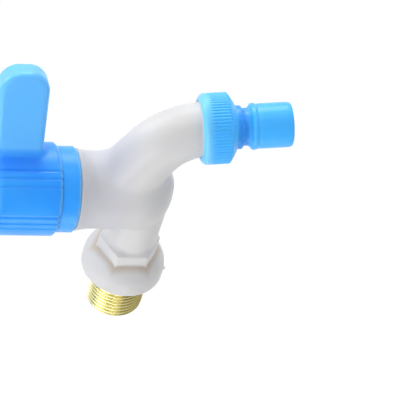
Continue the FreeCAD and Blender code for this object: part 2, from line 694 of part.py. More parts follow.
def make_inlet_insert():
    """The brass thread, with a hexagon moulded into the flange and a bore right through."""
    body = new_body("inlet_insert")
    end = size.inlet_thread_long
    turned(body, "thread_shank", [
        (0, 0),
        (0, size.inlet_thread_r),
        (end - size.inlet_thread_bevel, size.inlet_thread_r),
        (end, size.inlet_thread_r - size.inlet_thread_bevel),
        (end, 0),
    ], about_inlet=True)
    threaded = end - size.inlet_thread_bevel - size.inlet_thread_relief
    pitch = threaded / size.inlet_thread_turns
    vee_end = size.inlet_thread_relief + pitch - size.inlet_thread_crest
    vee = turned(body, "thread_vee", [
        (size.inlet_thread_relief, size.inlet_thread_r),
        ((size.inlet_thread_relief + vee_end) / 2, size.inlet_thread_r - size.inlet_thread_deep),
        (vee_end, size.inlet_thread_r),
        (vee_end, size.inlet_thread_r + size.overcut),
        (size.inlet_thread_relief, size.inlet_thread_r + size.overcut),
    ], cut=True, about_inlet=True)
    repeated(body, "thread", [vee], size.inlet_thread_turns, threaded - pitch)
    anchor = sketch_on(body, "XZ_Plane", "anchor_outline")
    draw_chain(anchor, hexagon_corners(anchor_corner_r))
    padded(body, "anchor", anchor, size.anchor_long)
    turned(body, "bore", [
        (-size.anchor_long - size.overcut, 0),
        (-size.anchor_long - size.overcut, size.insert_bore_r),
        (end + size.overcut, size.insert_bore_r),
        (end + size.overcut, 0),
    ], cut=True, about_inlet=True)
    return body


def make_bonnet_collar():
    """The smooth collar screwed on the barrel's top, whose lip holds the cartridge down."""
    body = valve_body("bonnet_collar")
    turned(body, "collar", [
        (collar_bore_r, size.shoulder_up),
        (collar_r - size.collar_bevel, size.shoulder_up),
        (collar_r, size.shoulder_up + size.collar_bevel),
        (collar_r, collar_top),
        (collar_lip_r, collar_top),
        (collar_lip_r, cartridge_flange_top),
        (collar_bore_r, cartridge_flange_top),
    ])
    return body


def make_cartridge_barrel():
    """The cartridge's housing: skirt for the discs, sealing land, flange and neck."""
    body = valve_body("cartridge_barrel")
    ring_half = size.ring_section / 2 + size.slip
    turned(body, "housing", [
        (cartridge_bore_r, size.seat_up + size.foot_gap),
        (cartridge_skirt_r, size.seat_up + size.foot_gap),
        (cartridge_skirt_r, body_top - size.cartridge_land),
        (cartridge_land_r, body_top - size.cartridge_land),
        (cartridge_land_r, barrel_ring_up - ring_half),
        (barrel_ring_root_r, barrel_ring_up - ring_half),
        (barrel_ring_root_r, barrel_ring_up + ring_half),
        (cartridge_land_r, barrel_ring_up + ring_half),
        (cartridge_land_r, body_top),
        (cartridge_flange_r, body_top),
        (cartridge_flange_r, cartridge_flange_top),
        (cartridge_neck_r, cartridge_flange_top),
        (cartridge_neck_r, cartridge_neck_top),
        (stem_bore_r, cartridge_neck_top),
        (stem_bore_r, bore_ceiling),
        (cartridge_bore_r, bore_ceiling),
    ])
    window = sketch_on(body, "XZ_Plane", "window_outline")
    half = size.window_wide / 2
    draw_chain(window, [
        (-half, moving_disc_low + size.window_rise),
        (half, moving_disc_low + size.window_rise),
        (half, plate_low + size.window_over),
        (-half, plate_low + size.window_over),
    ])
    padded(body, "windows", window, 4 * cartridge_skirt_r, cut=True, middle=True)
    stop_half = size.stop_lug_angle / 2 + size.stop_slack
    notch = sketch_on(body, "XY_Plane", "stop_notch_outline", lift=cartridge_neck_top)
    draw_chain(notch, sector(stem_ring_root_r, cartridge_neck_r + size.overcut, -stop_half - 90,
                             size.quarter_turn + stop_half - 90))
    padded(body, "stop_notch", notch, size.stop_lug_deep + size.slip, cut=True)
    return body


def make_ring(body, name, root_r, outer_r, up):
    """A round-section rubber ring that fills its groove from root to wall."""
    sketch = sketch_on(body, "XZ_Plane", name + "_section")
    draw_circle(sketch, (outer_r - root_r) / 2, across=(outer_r + root_r) / 2, up=up)
    ring = body.newObject("PartDesign::Revolution", name)
    ring.Profile = sketch
    ring.ReferenceAxis = (sketch, ["V_Axis"])
    ring.Angle = 360
    document.recompute()
    return body


def make_rubber_rings():
    make_ring(valve_body("barrel_o_ring"), "barrel_ring", barrel_ring_root_r, chamber_r,
              barrel_ring_up)
    make_ring(turning_body("stem_o_ring_lower"), "lower_ring", stem_ring_root_r, size.stem_r,
              stem_ring_low)
    make_ring(turning_body("stem_o_ring_upper"), "upper_ring", stem_ring_root_r, size.stem_r,
              stem_ring_high)
    turned(valve_body("seat_seal"), "seal", [
        ((seal_r - size.seal_wide), size.seat_up),
        (seal_r, size.seat_up),
        (seal_r, fixed_disc_low),
        ((seal_r - size.seal_wide), fixed_disc_low),
    ])


def make_discs():
    """Two ceramic discs: the fixed one has closed ports, the moving one has open notches."""
    fixed = valve_body("fixed_disc")
    blank = sketch_on(fixed, "XY_Plane", "blank_outline", lift=fixed_disc_low)
    padded(fixed, "blank", draw_circle(blank, disc_r), size.disc_thick)
    half = size.disc_port_angle / 2
    for name, middle in (("front_port", -90), ("rear_port", 90)):
        port = sketch_on(fixed, "XY_Plane", name + "_outline", lift=fixed_disc_low)
        draw_chain(port, sector(size.disc_port_in, disc_port_out, middle - half, middle + half))
        padded(fixed, name, port, size.disc_thick, cut=True, reversed_way=True)

    moving = turning_body("moving_disc")
    blank = sketch_on(moving, "XY_Plane", "blank_outline", lift=moving_disc_low)
    padded(moving, "blank", draw_circle(blank, disc_r), size.disc_thick)
    for name, middle in (("right_notch", 0), ("left_notch", 180)):
        notch = sketch_on(moving, "XY_Plane", name + "_outline", lift=moving_disc_low)
        draw_chain(notch, sector(size.disc_port_in, disc_r + size.overcut, middle - half, middle + half))
        padded(moving, name, notch, size.disc_thick, cut=True, reversed_way=True)
    slot = sketch_on(moving, "XY_Plane", "slot_outline", lift=plate_low)
    draw_chain(slot, tongue_corners(size.slip))
    padded(moving, "slot", slot, size.tongue_deep + size.slip, cut=True)


def tongue_corners(growth):
    """The driving tongue's rectangle, along the lever's direction."""
    half_wide = size.tongue_wide / 2 + growth
    half_long = disc_r - size.tongue_inset + growth
    return [(-half_wide, -half_long), (half_wide, -half_long), (half_wide, half_long),
            (-half_wide, half_long)]


def double_flat(radius, half_across):
    """A circle with two flats, at plus and minus half_across, as a chain of corners."""
    reach_value = math.sqrt(number(radius) ** 2 - number(half_across) ** 2)
    reach = Size(reach_value, "sqrt(%s * %s - %s * %s)" % (wording(radius), wording(radius),
                                                           wording(half_across), wording(half_across)))
    return [(half_across, -reach), (half_across, reach) + (radius, 1), (-half_across, reach),
            (-half_across, -reach) + (radius, 1)]


def make_cartridge_stem():
    """The turning stem: driving tongue and plate, ring grooves, flats, clip groove and spline."""
    body = turning_body("cartridge_stem")
    ring_half = size.ring_section / 2 + size.slip
    turned(body, "shaft", [
        (0, plate_low),
        (disc_r, plate_low),
        (disc_r, plate_top),
        (size.stem_r, plate_top),
        (size.stem_r, stem_ring_low - ring_half),
        (stem_ring_root_r, stem_ring_low - ring_half),
        (stem_ring_root_r, stem_ring_low + ring_half),
        (size.stem_r, stem_ring_low + ring_half),
        (size.stem_r, stem_ring_high - ring_half),
        (stem_ring_root_r, stem_ring_high - ring_half),
        (stem_ring_root_r, stem_ring_high + ring_half),
        (size.stem_r, stem_ring_high + ring_half),
        (size.stem_r, clip_low),
        (clip_root_r, clip_low),
        (clip_root_r, clip_top),
        (size.stem_r, clip_top),
        (size.stem_r, spline_low - (size.stem_r - spline_r)),
        (spline_r, spline_low),
        (spline_r, spline_top - size.spline_cut_r),
        (spline_r - size.spline_cut_r, spline_top),
        (0, spline_top),
    ])
    tongue = sketch_on(body, "XY_Plane", "tongue_outline", lift=plate_low - size.tongue_deep)
    draw_chain(tongue, tongue_corners(0))
    padded(body, "tongue", tongue, size.tongue_deep + size.stem_plate / 2)
    for name, side in (("right_flat", 1), ("left_flat", -1)):
        flat = sketch_on(body, "XY_Plane", name + "_outline", lift=stop_ring_low)
        inner = stem_flat * side
        outer = (size.stem_r + size.overcut) * side
        draw_chain(flat, [(inner, -size.stem_r), (outer, -size.stem_r), (outer, size.stem_r),
                          (inner, size.stem_r)])
        padded(body, name, flat, size.stop_ring_thick, cut=True, reversed_way=True)
    bore = sketch_on(body, "XY_Plane", "screw_bore_outline", lift=spline_top)
    padded(body, "screw_bore", draw_circle(bore, size.screw_r), size.screw_long + size.screw_r, cut=True)
    groove = sketch_on(body, "XY_Plane", "spline_groove_outline", lift=spline_low)
    draw_circle(groove, size.spline_cut_r, across=spline_r)
    cut = padded(body, "spline_groove", groove, spline_top - spline_low + size.overcut, cut=True,
                 reversed_way=True)
    patterned(body, "spline", [cut], size.spline_count)


def make_stem_hardware():
    """Thrust washer, stop ring with its lug, and the clip that keeps the stem in."""
    turned(turning_body("thrust_washer"), "washer", [
        (size.stem_r + size.slip, plate_top),
        (disc_r, plate_top),
        (disc_r, plate_top + size.washer_thick),
        (size.stem_r + size.slip, plate_top + size.washer_thick),
    ])

    stop = turning_body("stop_ring")
    disc = sketch_on(stop, "XY_Plane", "ring_outline", lift=stop_ring_low)
    padded(stop, "ring", draw_circle(disc, stop_ring_r), size.stop_ring_thick)
    lug = sketch_on(stop, "XY_Plane", "lug_outline", lift=cartridge_neck_top - size.stop_lug_deep)
    lug_half = size.stop_lug_angle / 2
    draw_chain(lug, sector(stem_bore_r + size.slip, stop_ring_r, -lug_half - 90, lug_half - 90))
    padded(stop, "lug", lug, size.stop_lug_deep + size.slip + size.stop_ring_thick / 2)
    hole = sketch_on(stop, "XY_Plane", "hole_outline", lift=stop_ring_low)
    draw_chain(hole, double_flat(size.stem_r + size.slip / 2, stem_flat + size.slip / 2))
    padded(stop, "hole", hole, size.stop_ring_thick, cut=True, reversed_way=True)

    clip = turning_body("stem_clip")
    ring = sketch_on(clip, "XY_Plane", "clip_outline", lift=clip_low)
    draw_circle(ring, stop_ring_r)
    draw_circle(ring, clip_root_r + size.slip / 2)
    padded(clip, "clip", ring, size.clip_thick)
    gap = sketch_on(clip, "XY_Plane", "gap_outline", lift=clip_low)
    gap_half = size.clip_gap / 2
    gap_end = stop_ring_r + size.overcut
    draw_chain(gap, [(-gap_half, 0), (gap_half, 0), (gap_half, gap_end), (-gap_half, gap_end)])
    padded(clip, "gap", gap, size.clip_thick, cut=True, reversed_way=True)


def add_lever(body):
    """The paddle, upright in the plane of the valve axis, with broad rounded edges."""
    outline = sketch_on(body, "YZ_Plane", "lever_outline")
    root = size.lever_buried - cap_r
    tip = -size.lever_reach
    high = cap_shoulder + size.lever_over
    low = cap_low + size.lever_low
    tip_r = smaller(size.lever_tip_r, (high - low) * lever_tip_share)
    draw_chain(outline, [
        (root, cap_low + size.lever_root_low),
        (root, high),
        (tip + tip_r, high, tip_r, 1),
        (tip, high - tip_r),
        (tip, low + tip_r, tip_r, 1),
        (tip + tip_r, low),
    ])
    paddle = padded(body, "lever", outline, size.lever_thick, middle=True)
    half_thick = number(size.lever_thick) / 2
    root_along = number(root)

    def on_outline(edge):
        box = edge.BoundBox
        in_face = abs(abs(box.XMin) - half_thick) < 1e-4 and abs(box.XMax - box.XMin) < 1e-4
        return in_face and box.YMin < root_along - 0.01

    rounded(body, "lever_edges", paddle, on_outline, size.lever_edge_round)


def make_handle():
    """The blue cap with its hub and grip grooves, and the upright paddle lever moulded on it."""
    body = turning_body("handle")
    add_lever(body)
    crown_rise = cap_top - crown_edge_up
    crown_r = (crown_edge_r * crown_edge_r + crown_rise * crown_rise) / (2 * crown_rise)
    inner_r = cap_r - size.cap_wall
    ceiling = crown_edge_up - size.cap_wall
    turned(body, "cap", [
        (inner_r, cap_low),
        (cap_r - size.cap_bevel, cap_low),
        (cap_r, cap_low + size.cap_bevel),
        (cap_r, cap_shoulder, size.cap_shoulder_r, 1),
        (crown_edge_r, crown_edge_up, crown_r, 1),
        (0, cap_top),
        (0, hub_low),
        (spline_r + size.hub_wall, hub_low),
        (spline_r + size.hub_wall, ceiling),
        (crown_edge_r, ceiling),
        (inner_r, cap_shoulder),
    ])
    socket_r = spline_r + size.slip
    turned(body, "socket", [
        (0, hub_low - size.overcut),
        (socket_r, hub_low - size.overcut),
        (socket_r, spline_top + size.slip),
        (0, spline_top + size.slip),
    ], cut=True)
    turned(body, "screw_well", [
        (0, spline_top),
        (size.screw_r + size.slip, spline_top),
        (size.screw_r + size.slip, web_top),
        (well_r, web_top),
        (well_r, cap_top + size.overcut),
        (0, cap_top + size.overcut),
    ], cut=True)
    tooth = sketch_on(body, "XY_Plane", "tooth_outline", lift=hub_low)
    draw_circle(tooth, size.spline_cut_r - size.slip, across=socket_r)
    tooth_pad = padded(body, "tooth", tooth, spline_top - hub_low)
    patterned(body, "teeth", [tooth_pad], size.spline_count)
    grooves = []
    for name, turn in (("groove_left", -1), ("groove_middle", 0), ("groove_right", 1)):
        outline = sketch_on(body, "XY_Plane", name + "_outline", lift=cap_low + size.grip_low)
        centre_r = cap_r + size.grip_r - size.grip_deep
        across, up = polar(centre_r, size.grip_angle * turn + size.grip_group_angle - 90)
        draw_circle(outline, size.grip_r, across=across, up=up)
        grooves.append(padded(body, name, outline, cap_top - cap_low, cut=True, reversed_way=True))
    patterned(body, "grip", grooves, size.grip_groups, span=size.grip_group_angle * (size.grip_groups - 1))


def make_handle_hardware():
    """The screw and washer that hold the handle on, and the plug that covers them."""
    screw = turning_body("handle_screw")
    turned(screw, "screw", [
        (0, screw_head_low - size.screw_long),
        (size.screw_r - size.slip, screw_head_low - size.screw_long),
        (size.screw_r - size.slip, screw_head_low),
        (screw_head_r, screw_head_low),
        (screw_head_r, screw_head_top - size.screw_head / 2),
        (screw_head_r - size.screw_crown_inset, screw_head_top),
        (0, screw_head_top),
    ])
    across_half = size.screw_slot / 2
    along_half = size.screw_slot_long / 2
    slots = (("slot_across", across_half, along_half), ("slot_along", along_half, across_half))
    for name, half_wide, half_long in slots:
        cross = sketch_on(screw, "XY_Plane", name + "_outline", lift=screw_head_top)
        draw_chain(cross, [(-half_wide, -half_long), (half_wide, -half_long), (half_wide, half_long),
                           (-half_wide, half_long)])
        padded(screw, name, cross, size.screw_slot_deep, cut=True)
    turned(turning_body("screw_washer"), "washer", [
        (size.screw_r + size.slip, web_top),
        (screw_washer_r, web_top),
        (screw_washer_r, screw_head_low),
        (size.screw_r + size.slip, screw_head_low),
    ])
    rim_r = well_r - size.slip / 2
    turned(turning_body("index_plug"), "plug", [
        (0, cap_top - size.plug_cover),
        (rim_r - size.plug_rim, cap_top - size.plug_cover),
        (rim_r - size.plug_rim, cap_top - size.plug_cover - size.plug_skirt),
        (rim_r, cap_top - size.plug_cover - size.plug_skirt),
        (rim_r, cap_top - size.plug_edge),
        (rim_r - size.plug_edge, cap_top),
        (0, cap_top),
    ])


def outlet_outline(points):
    """Turns (radius, distance down the outlet's axis) into corners, keeping any arc."""
    return [(point[0], -point[1]) + tuple(point[2:]) for point in points]


def make_ring_nut():
    """The knurled nut that clamps the nozzle's flange against the spout."""
    body = new_body("ring_nut", outlet=True)
    turned(body, "nut", outlet_outline([
        (nut_bore_r, nut_start),
        (nut_bore_r, nozzle_flange_end),
        (nut_hole_r, nozzle_flange_end),
        (nut_hole_r, nut_end),
        (nut_hole_r + size.nut_end_wall, nut_end),
        (nut_r, knurl_end),
        (nut_r, knurl_start),
        (nut_bore_r + size.nut_top_wall, nut_start),
    ]))
    groove = sketch_on(body, "XY_Plane", "knurl_outline", lift=-nut_end)
    draw_circle(groove, size.knurl_cut_r, across=nut_r + size.knurl_cut_r - size.knurl_deep)
    cut = padded(body, "knurl_groove", groove, nut_end - nut_start, cut=True,
                 reversed_way=True)
    patterned(body, "knurl", [cut], size.knurl_count)


def make_nozzle():
    """The plug-in nozzle: clamped flange, shank, latch groove, bead and barrel."""
    body = new_body("nozzle", outlet=True)
    end = nozzle_end
    turned(body, "nozzle_turning", outlet_outline([
        (nozzle_bore_r, washer_end),
        (nozzle_bore_r, end),
        (size.nozzle_barrel_r - size.nozzle_end_round, end, size.nozzle_end_round, 1),
        (size.nozzle_barrel_r, end - size.nozzle_end_round),
        (size.nozzle_barrel_r, waist_end),
        (size.nozzle_barrel_r - size.nozzle_waist_deep, (bead_end + waist_end) / 2),
        (size.nozzle_barrel_r + size.nozzle_bead_step, bead_end),
        (size.nozzle_barrel_r + size.nozzle_bead_step, bead_start),
        (nozzle_groove_r, groove_end),
        (nozzle_groove_r, groove_start),
        (nozzle_shank_r, shank_end),
        (nozzle_shank_r, nozzle_flange_end),
        (nozzle_flange_r, nozzle_flange_end),
        (nozzle_flange_r, washer_end),
    ]))
    turned(new_body("nozzle_washer", outlet=True), "washer", outlet_outline([
        (nozzle_bore_r, size.outlet_end),
        (nozzle_bore_r, washer_end),
        (nozzle_flange_r, washer_end),
        (nozzle_flange_r, size.outlet_end),
    ]))


def check_and_write():
    """Stops on any failed object or bad solid, and writes each piece to its own file."""
    document.recompute()
    for item in document.Objects:
        if "Invalid" in item.State or "Error" in item.State:
            raise ValueError("%s failed: %s" % (item.Label, item.State))
    os.makedirs("parts", exist_ok=True)
    for body in document.Objects:
        if body.TypeId != "PartDesign::Body":
            continue
        shape = body.Shape
        if shape.isNull() or not shape.isValid() or len(shape.Solids) != 1:
            raise ValueError("%s has no single valid solid" % body.Label)
        shape.exportStep("parts/%s.step" % body.Label)
        print("%-20s %9.1f mm3" % (body.Label, shape.Volume))


make_faucet_body()
make_inlet_insert()
make_bonnet_collar()
make_cartridge_barrel()
make_rubber_rings()
make_discs()
make_cartridge_stem()
make_stem_hardware()
make_handle()
make_handle_hardware()
make_ring_nut()
make_nozzle()
check_and_write()
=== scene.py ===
import json

import bpy
import numpy as np
from mathutils import Matrix, Vector


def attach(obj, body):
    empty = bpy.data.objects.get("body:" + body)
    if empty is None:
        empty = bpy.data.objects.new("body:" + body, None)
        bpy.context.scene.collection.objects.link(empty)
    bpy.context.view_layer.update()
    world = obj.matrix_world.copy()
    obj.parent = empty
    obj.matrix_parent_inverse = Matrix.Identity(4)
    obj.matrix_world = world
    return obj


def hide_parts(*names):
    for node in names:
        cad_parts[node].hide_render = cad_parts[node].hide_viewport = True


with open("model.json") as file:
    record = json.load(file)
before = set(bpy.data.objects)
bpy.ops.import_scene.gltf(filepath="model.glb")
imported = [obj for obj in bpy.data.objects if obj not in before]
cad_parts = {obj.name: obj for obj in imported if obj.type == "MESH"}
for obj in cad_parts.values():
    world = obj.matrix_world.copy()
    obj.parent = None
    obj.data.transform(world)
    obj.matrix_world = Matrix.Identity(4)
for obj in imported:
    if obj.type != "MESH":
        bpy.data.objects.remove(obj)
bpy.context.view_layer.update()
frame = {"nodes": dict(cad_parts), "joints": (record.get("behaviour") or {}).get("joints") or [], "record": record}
record = frame["record"]
nodes = frame["nodes"]
mounts = {mount["name"]: mount for mount in record["mounts"]}
joints = {joint["name"]: joint for joint in frame["joints"]}
mm = 0.001
nutAhead = 5.0   # millimetres from the end of the spout's bend to the nut's joint
outletAxis = np.array(mounts["nozzle_barrel"]["axis"], float)
outletMark = np.array(joints["nut_turn"]["pos_m"], float) - outletAxis * nutAhead * mm   # end of the bend
print("frame loaded:", len(nodes), "nodes")


# shader arithmetic: one output socket, on which + - * and abs add Math nodes
class Signal:
    def __init__(self, owner, socket):
        self.owner, self.socket = owner, socket

    def calc(self, operation, *terms):
        return self.owner.node("ShaderNodeMath", {"operation": operation}, dict(enumerate(terms)))

    def __add__(self, other):
        return self.calc("ADD", self, other)

    __radd__ = __add__

    def __sub__(self, other):
        return self.calc("SUBTRACT", self, other)

    def __rsub__(self, other):
        return self.calc("SUBTRACT", other, self)

    def __mul__(self, other):
        return self.calc("MULTIPLY", self, other)

    __rmul__ = __mul__

    def __abs__(self):
        return self.calc("ABSOLUTE", self)

    def larger(self, other):
        return self.calc("MAXIMUM", self, other)

    def eased(self, low, high):
        # 0 at low, 1 at high, eased in between
        return self.owner.node("ShaderNodeMapRange", {"interpolation_type": "SMOOTHSTEP"},
                               {"Value": self, "From Min": low, "From Max": high})

    def band(self, rise, fall):
        # 1 in a band that eases in over the span rise and out over the span fall, 0 outside it
        return self.eased(*rise) * (1 - self.eased(*fall))


# the node tree of a material or a sky that is being made
class NodeTree:
    def __init__(self, holder):
        self.holder = holder
        holder.use_nodes = True
        self.tree = holder.node_tree
        self.tree.nodes.clear()

    def node(self, kind, settings=None, sockets=None, out=0):
        made = self.tree.nodes.new(kind)
        for key, value in (settings or {}).items():
            setattr(made, key, value)
        for key, value in (sockets or {}).items():
            if isinstance(value, Signal):
                self.tree.links.new(value.socket, made.inputs[key])
            else:
                made.inputs[key].default_value = value
        return None if out is None else Signal(self, made.outputs[out])

    def seen(self):
        # 1 for what the camera, gloss and glass look at, 0 for the light that falls on the object
        camera, gloss, glass = (self.node("ShaderNodeLightPath", out=kind + " Ray")
                                for kind in ("Is Camera", "Is Glossy", "Is Transmission"))
        return camera.larger(gloss).larger(glass)


# a material whose patterns are in millimetres of the object's own place
class Finish(NodeTree):
    def __init__(self, name):
        super().__init__(bpy.data.materials.new(name))
        self.place = self.vector("SCALE", self.node("ShaderNodeTexCoord", out="Object"), Scale=1 / mm)

    def vector(self, operation, *terms, out=0, **named):
        sockets = {**dict(enumerate(terms)), **named}
        return self.node("ShaderNodeVectorMath", {"operation": operation}, sockets, out)

    def across(self, axis):
        return self.node("ShaderNodeSeparateXYZ", sockets={0: self.place}, out=axis)

    def toward(self, place, direction):
        # how far a place lies along a direction
        return self.vector("DOT_PRODUCT", place, direction, out="Value")

    def cloud(self, scale, detail=2.0, stretch=None):
        # soft noise, scale in waves a millimetre
        place = self.vector("MULTIPLY", self.place, stretch) if stretch else self.place
        return self.node("ShaderNodeTexNoise", sockets={
            "Vector": place, "Scale": scale, "Detail": detail, "Roughness": 0.55})

    def mixed(self, factor, first, second):
        sockets = {0: factor, 6: first, 7: second}
        sockets = {key: (*value, 1) if isinstance(value, tuple) else value for key, value in sockets.items()}
        return self.node("ShaderNodeMix", {"data_type": "RGBA"}, sockets, out=2)

    def bumped(self, height, depth, rounding=0.0):
        # height 0 to 1 stands for depth millimetres; rounding softens the edges' shading
        sockets = {"Height": height, "Distance": depth * mm, "Strength": 1.0}
        if rounding:
            sockets["Normal"] = self.node("ShaderNodeBevel", {"samples": 8}, {"Radius": rounding * mm})
        return self.node("ShaderNodeBump", sockets=sockets)

    def done(self, sockets):
        shader = self.node("ShaderNodeBsdfPrincipled", sockets=sockets)
        self.node("ShaderNodeOutputMaterial", sockets={"Surface": shader}, out=None)
        return self.holder


# what all the mouldings share
mouldLook = {
    "driftSpan": (0.35, 0.65), "driftShare": 0.7, "flowSpan": (0.3, 0.7), "flowShare": 0.3,
    "grainHeight": 0.6, "flowHeight": 0.4, "ior": 1.49, "glossTint": (1.0, 1.0, 1.0),
    "sheen": 0.0, "sheenRoughness": 0.35}


def plastic(name, ownLook, paintedLight=None):
    # satin moulding: slow drifts of shade, a fine spark-eroded grain, a little light carried inside;
    # the last argument is the function that paints light and shade into a plastic's colour
    finish, look = Finish(name), {**mouldLook, **ownLook}
    drift = finish.cloud(look["driftScale"], detail=1.0).eased(*look["driftSpan"])
    flow = finish.cloud(look["flowScale"], detail=3.0, stretch=look["flowStretch"]).eased(*look["flowSpan"])
    grain = finish.cloud(look["grainScale"], detail=3.0)
    thin = drift * look["driftShare"] + flow * look["flowShare"]
    shade = finish.mixed(thin, look["colour"], look["colourThin"])
    # painted light and shade over the moulding's own tone
    if paintedLight:
        shade = paintedLight(finish, shade, look)
    height = grain * look["grainHeight"] + flow * look["flowHeight"]
    if "seam" in look:
        seam = 1 - abs(finish.across("X") - look["seam"]).eased(*look["seamWide"])
        height = height + seam * look["seamHeight"]
    tint = (*look["glossTint"], 1)
    return finish.done({
        "Base Color": shade,
        "Roughness": look["roughness"] + flow * look["roughnessDrift"],
        "Normal": finish.bumped(height, look["grainDepth"], look["rounding"]),
        "IOR": look["ior"], "Specular IOR Level": look["gloss"], "Specular Tint": tint,
        "Subsurface Weight": look["glow"], "Subsurface Scale": look["glowDepth"] * mm,
        "Subsurface Radius": look["glowReach"],
        "Coat Weight": look["skin"], "Coat Roughness": look["skinRoughness"],
        "Sheen Weight": look["sheen"], "Sheen Tint": tint, "Sheen Roughness": look["sheenRoughness"]})


def paintWhiteShade(finish, shade, look):
    # painted shade: a warm darker band on the flange round the foot of the hexagon, where its shadow falls
    turns = [k * np.pi / 3 for k in range(3)]
    offFlats = [abs(finish.toward(finish.place, (np.cos(turn), 0, np.sin(turn)))) for turn in turns]
    offHexagon = offFlats[0].larger(offFlats[1]).larger(offFlats[2])
    hexShade = offHexagon.band(*look["hexShadeAcross"]) * finish.across("Y").eased(*look["hexShadeAlong"])
    shade = finish.mixed(hexShade * look["hexShadeShare"], shade, look["hexShadeColour"])
    # painted shade and bluish bounce light on the barrel under the collar
    collarShade = finish.across("Z").eased(*look["collarShadeUp"]) * (1 - finish.across("Y").eased(*look["collarShadeAlong"]))
    return finish.mixed(collarShade, shade, look["collarShadeColour"])


def paintBlueLightShade(finish, shade, look):
    # painted shade round the lever's root and painted light along the lever
    up = finish.across("Z")
    offValve = finish.vector("MULTIPLY", finish.vector("ADD", finish.place, (0, look["reach"], 0)), (1, 1, 0))
    rest = np.radians(look["rest"])
    alongLever = finish.toward(offValve, (np.sin(rest), -np.cos(rest), 0))
    besideLever = abs(finish.toward(offValve, (np.cos(rest), np.sin(rest), 0)))
    root = alongLever.eased(*look["rootShadeAlong"]) * up.eased(*look["rootShadeUp"])
    root = root * besideLever.band(*look["rootShadeBeside"])
    shade = finish.mixed(root * look["rootShadeShare"], shade, look["deepShadeColour"])
    # painted light along the lever
    lever = finish.vector("LENGTH", offValve, out="Value").eased(*look["leverLitFrom"])
    shade = finish.mixed(lever * up.eased(*look["leverLitUp"]), shade, look["leverLitColour"])
    # painted light: the nut and the nozzle paler than the cap, the collar only a little; painted shade in the
    # nozzle's waist
    low = (1 - up.eased(*look["nutLitCapUp"])) * (1 - up.eased(*look["nutLitCollarUp"]) * look["nutLitCollarLess"])
    shade = finish.mixed(low, shade, look["nutLitColour"])
    # painted shade in the nozzle's waist
    offMark = finish.vector("SUBTRACT", finish.place, tuple(outletMark / mm))
    out = finish.toward(offMark, tuple(outletAxis))
    shade = finish.mixed(out.band(*look["waist"]) * look["waistShare"], shade, look["deepShadeColour"])
    # painted light on the nut's upper rim, the collar's lower one and the cap's
    rim = out.band(*look["nutRimLit"]) + up.band(*look["collarRimLit"])
    rim = rim + up.band(*look["capRimLit"]) * look["capRimLitShare"]
    return finish.mixed(rim * look["rimLitShare"], shade, look["rimLitColour"])


whitePlastic = plastic("satinWhite", {
    "colour": (0.580, 0.578, 0.586), "colourThin": (0.610, 0.606, 0.610), "driftScale": 0.06,
    "flowScale": 0.11, "flowStretch": (1.0, 0.35, 1.0), "grainScale": 3.2, "grainDepth": 0.010,
    "rounding": 0.35, "roughness": 0.38, "roughnessDrift": 0.07, "gloss": 0.22,
    "glow": 0.30, "glowDepth": 3.5, "glowReach": (1.0, 0.8, 0.62), "skin": 0.04, "skinRoughness": 0.25,
    "seam": 0.0, "seamWide": (0.02, 0.11), "seamHeight": 1.2,
    # painted shade at the foot of the hexagon
    "hexShadeColour": (0.47, 0.40, 0.33), "hexShadeAcross": ((9.65, 10.1), (10.2, 12.6)),
    "hexShadeAlong": (-12.4, -11.4), "hexShadeShare": 0.85,
    # painted shade and bounce light under the collar
    "collarShadeColour": (0.532, 0.535, 0.577), "collarShadeUp": (2.0, 15.0), "collarShadeAlong": (-27.0, -20.0)}, paintWhiteShade)
bluePlastic = plastic("satinBlue", {
    "colour": (0.012, 0.295, 1.0), "colourThin": (0.022, 0.330, 1.0), "driftScale": 0.07,
    "flowScale": 0.12, "flowStretch": (1.0, 0.6, 0.6), "grainScale": 3.2, "grainDepth": 0.010,
    "rounding": 0.35, "roughness": 0.42, "roughnessDrift": 0.07, "gloss": 0.30,
    "glossTint": (0.6, 0.95, 1.0), "sheen": 0.3,
    "glow": 0.30, "glowDepth": 3.0, "glowReach": (0.2, 0.5, 1.0), "skin": 0.45, "skinRoughness": 0.35,
    "reach": 42.3, "rest": 32.7,
    # painted shade round the lever's root and in the nozzle's waist
    "deepShadeColour": (0.0, 0.21, 0.97), "rootShadeAlong": (3.0, 12.0), "rootShadeUp": (36.5, 41.0),
    "rootShadeBeside": ((7.4, 9.4), (11.5, 14.8)), "rootShadeShare": 0.9,
    # painted shade in the nozzle's waist
    "waist": ((9.4, 10.2), (12.2, 14.0)), "waistShare": 0.5,
    # painted light along the lever
    "leverLitColour": (0.118, 0.485, 1.0), "leverLitFrom": (16.6, 18.5), "leverLitUp": (30.0, 34.0),
    # painted light on the nut, the nozzle and a little the collar
    "nutLitColour": (0.048, 0.435, 1.0), "nutLitCapUp": (30.8, 31.6), "nutLitCollarUp": (-6.0, 6.0), "nutLitCollarLess": 0.8,
    # painted light on the rims
    "rimLitColour": (0.20, 0.60, 1.0), "rimLitShare": 0.7, "nutRimLit": ((-3.5, -3.2), (-2.4, 1.6)),
    "collarRimLit": ((20.0, 22.0), (24.9, 25.9)), "capRimLit": ((31.29, 31.32), (31.6, 33.0)),
    "capRimLitShare": 0.6}, paintBlueLightShade)
greyPlastic = plastic("plainGrey", {
    "colour": (0.34, 0.35, 0.36), "colourThin": (0.39, 0.40, 0.41), "driftScale": 0.08,
    "flowScale": 0.15, "flowStretch": (1.0, 1.0, 0.5), "grainScale": 3.0, "grainDepth": 0.012,
    "rounding": 0.2, "roughness": 0.48, "roughnessDrift": 0.08, "gloss": 0.4,
    "glow": 0.0, "glowDepth": 1.0, "glowReach": (1.0, 1.0, 1.0), "skin": 0.0, "skinRoughness": 0.3})

# what all the turned metals share
latheLook = {
    "wobble": 1.5, "tarnishScale": 0.35, "tarnishSpan": (0.42, 0.78), "speckScale": 2.2,
    "speckSpan": (0.62, 0.8), "tarnishRough": 0.10, "speckRough": 0.12, "grainScale": 5.0,
    "ringHeight": 0.6, "grainHeight": 0.2, "speckHeight": 0.2}


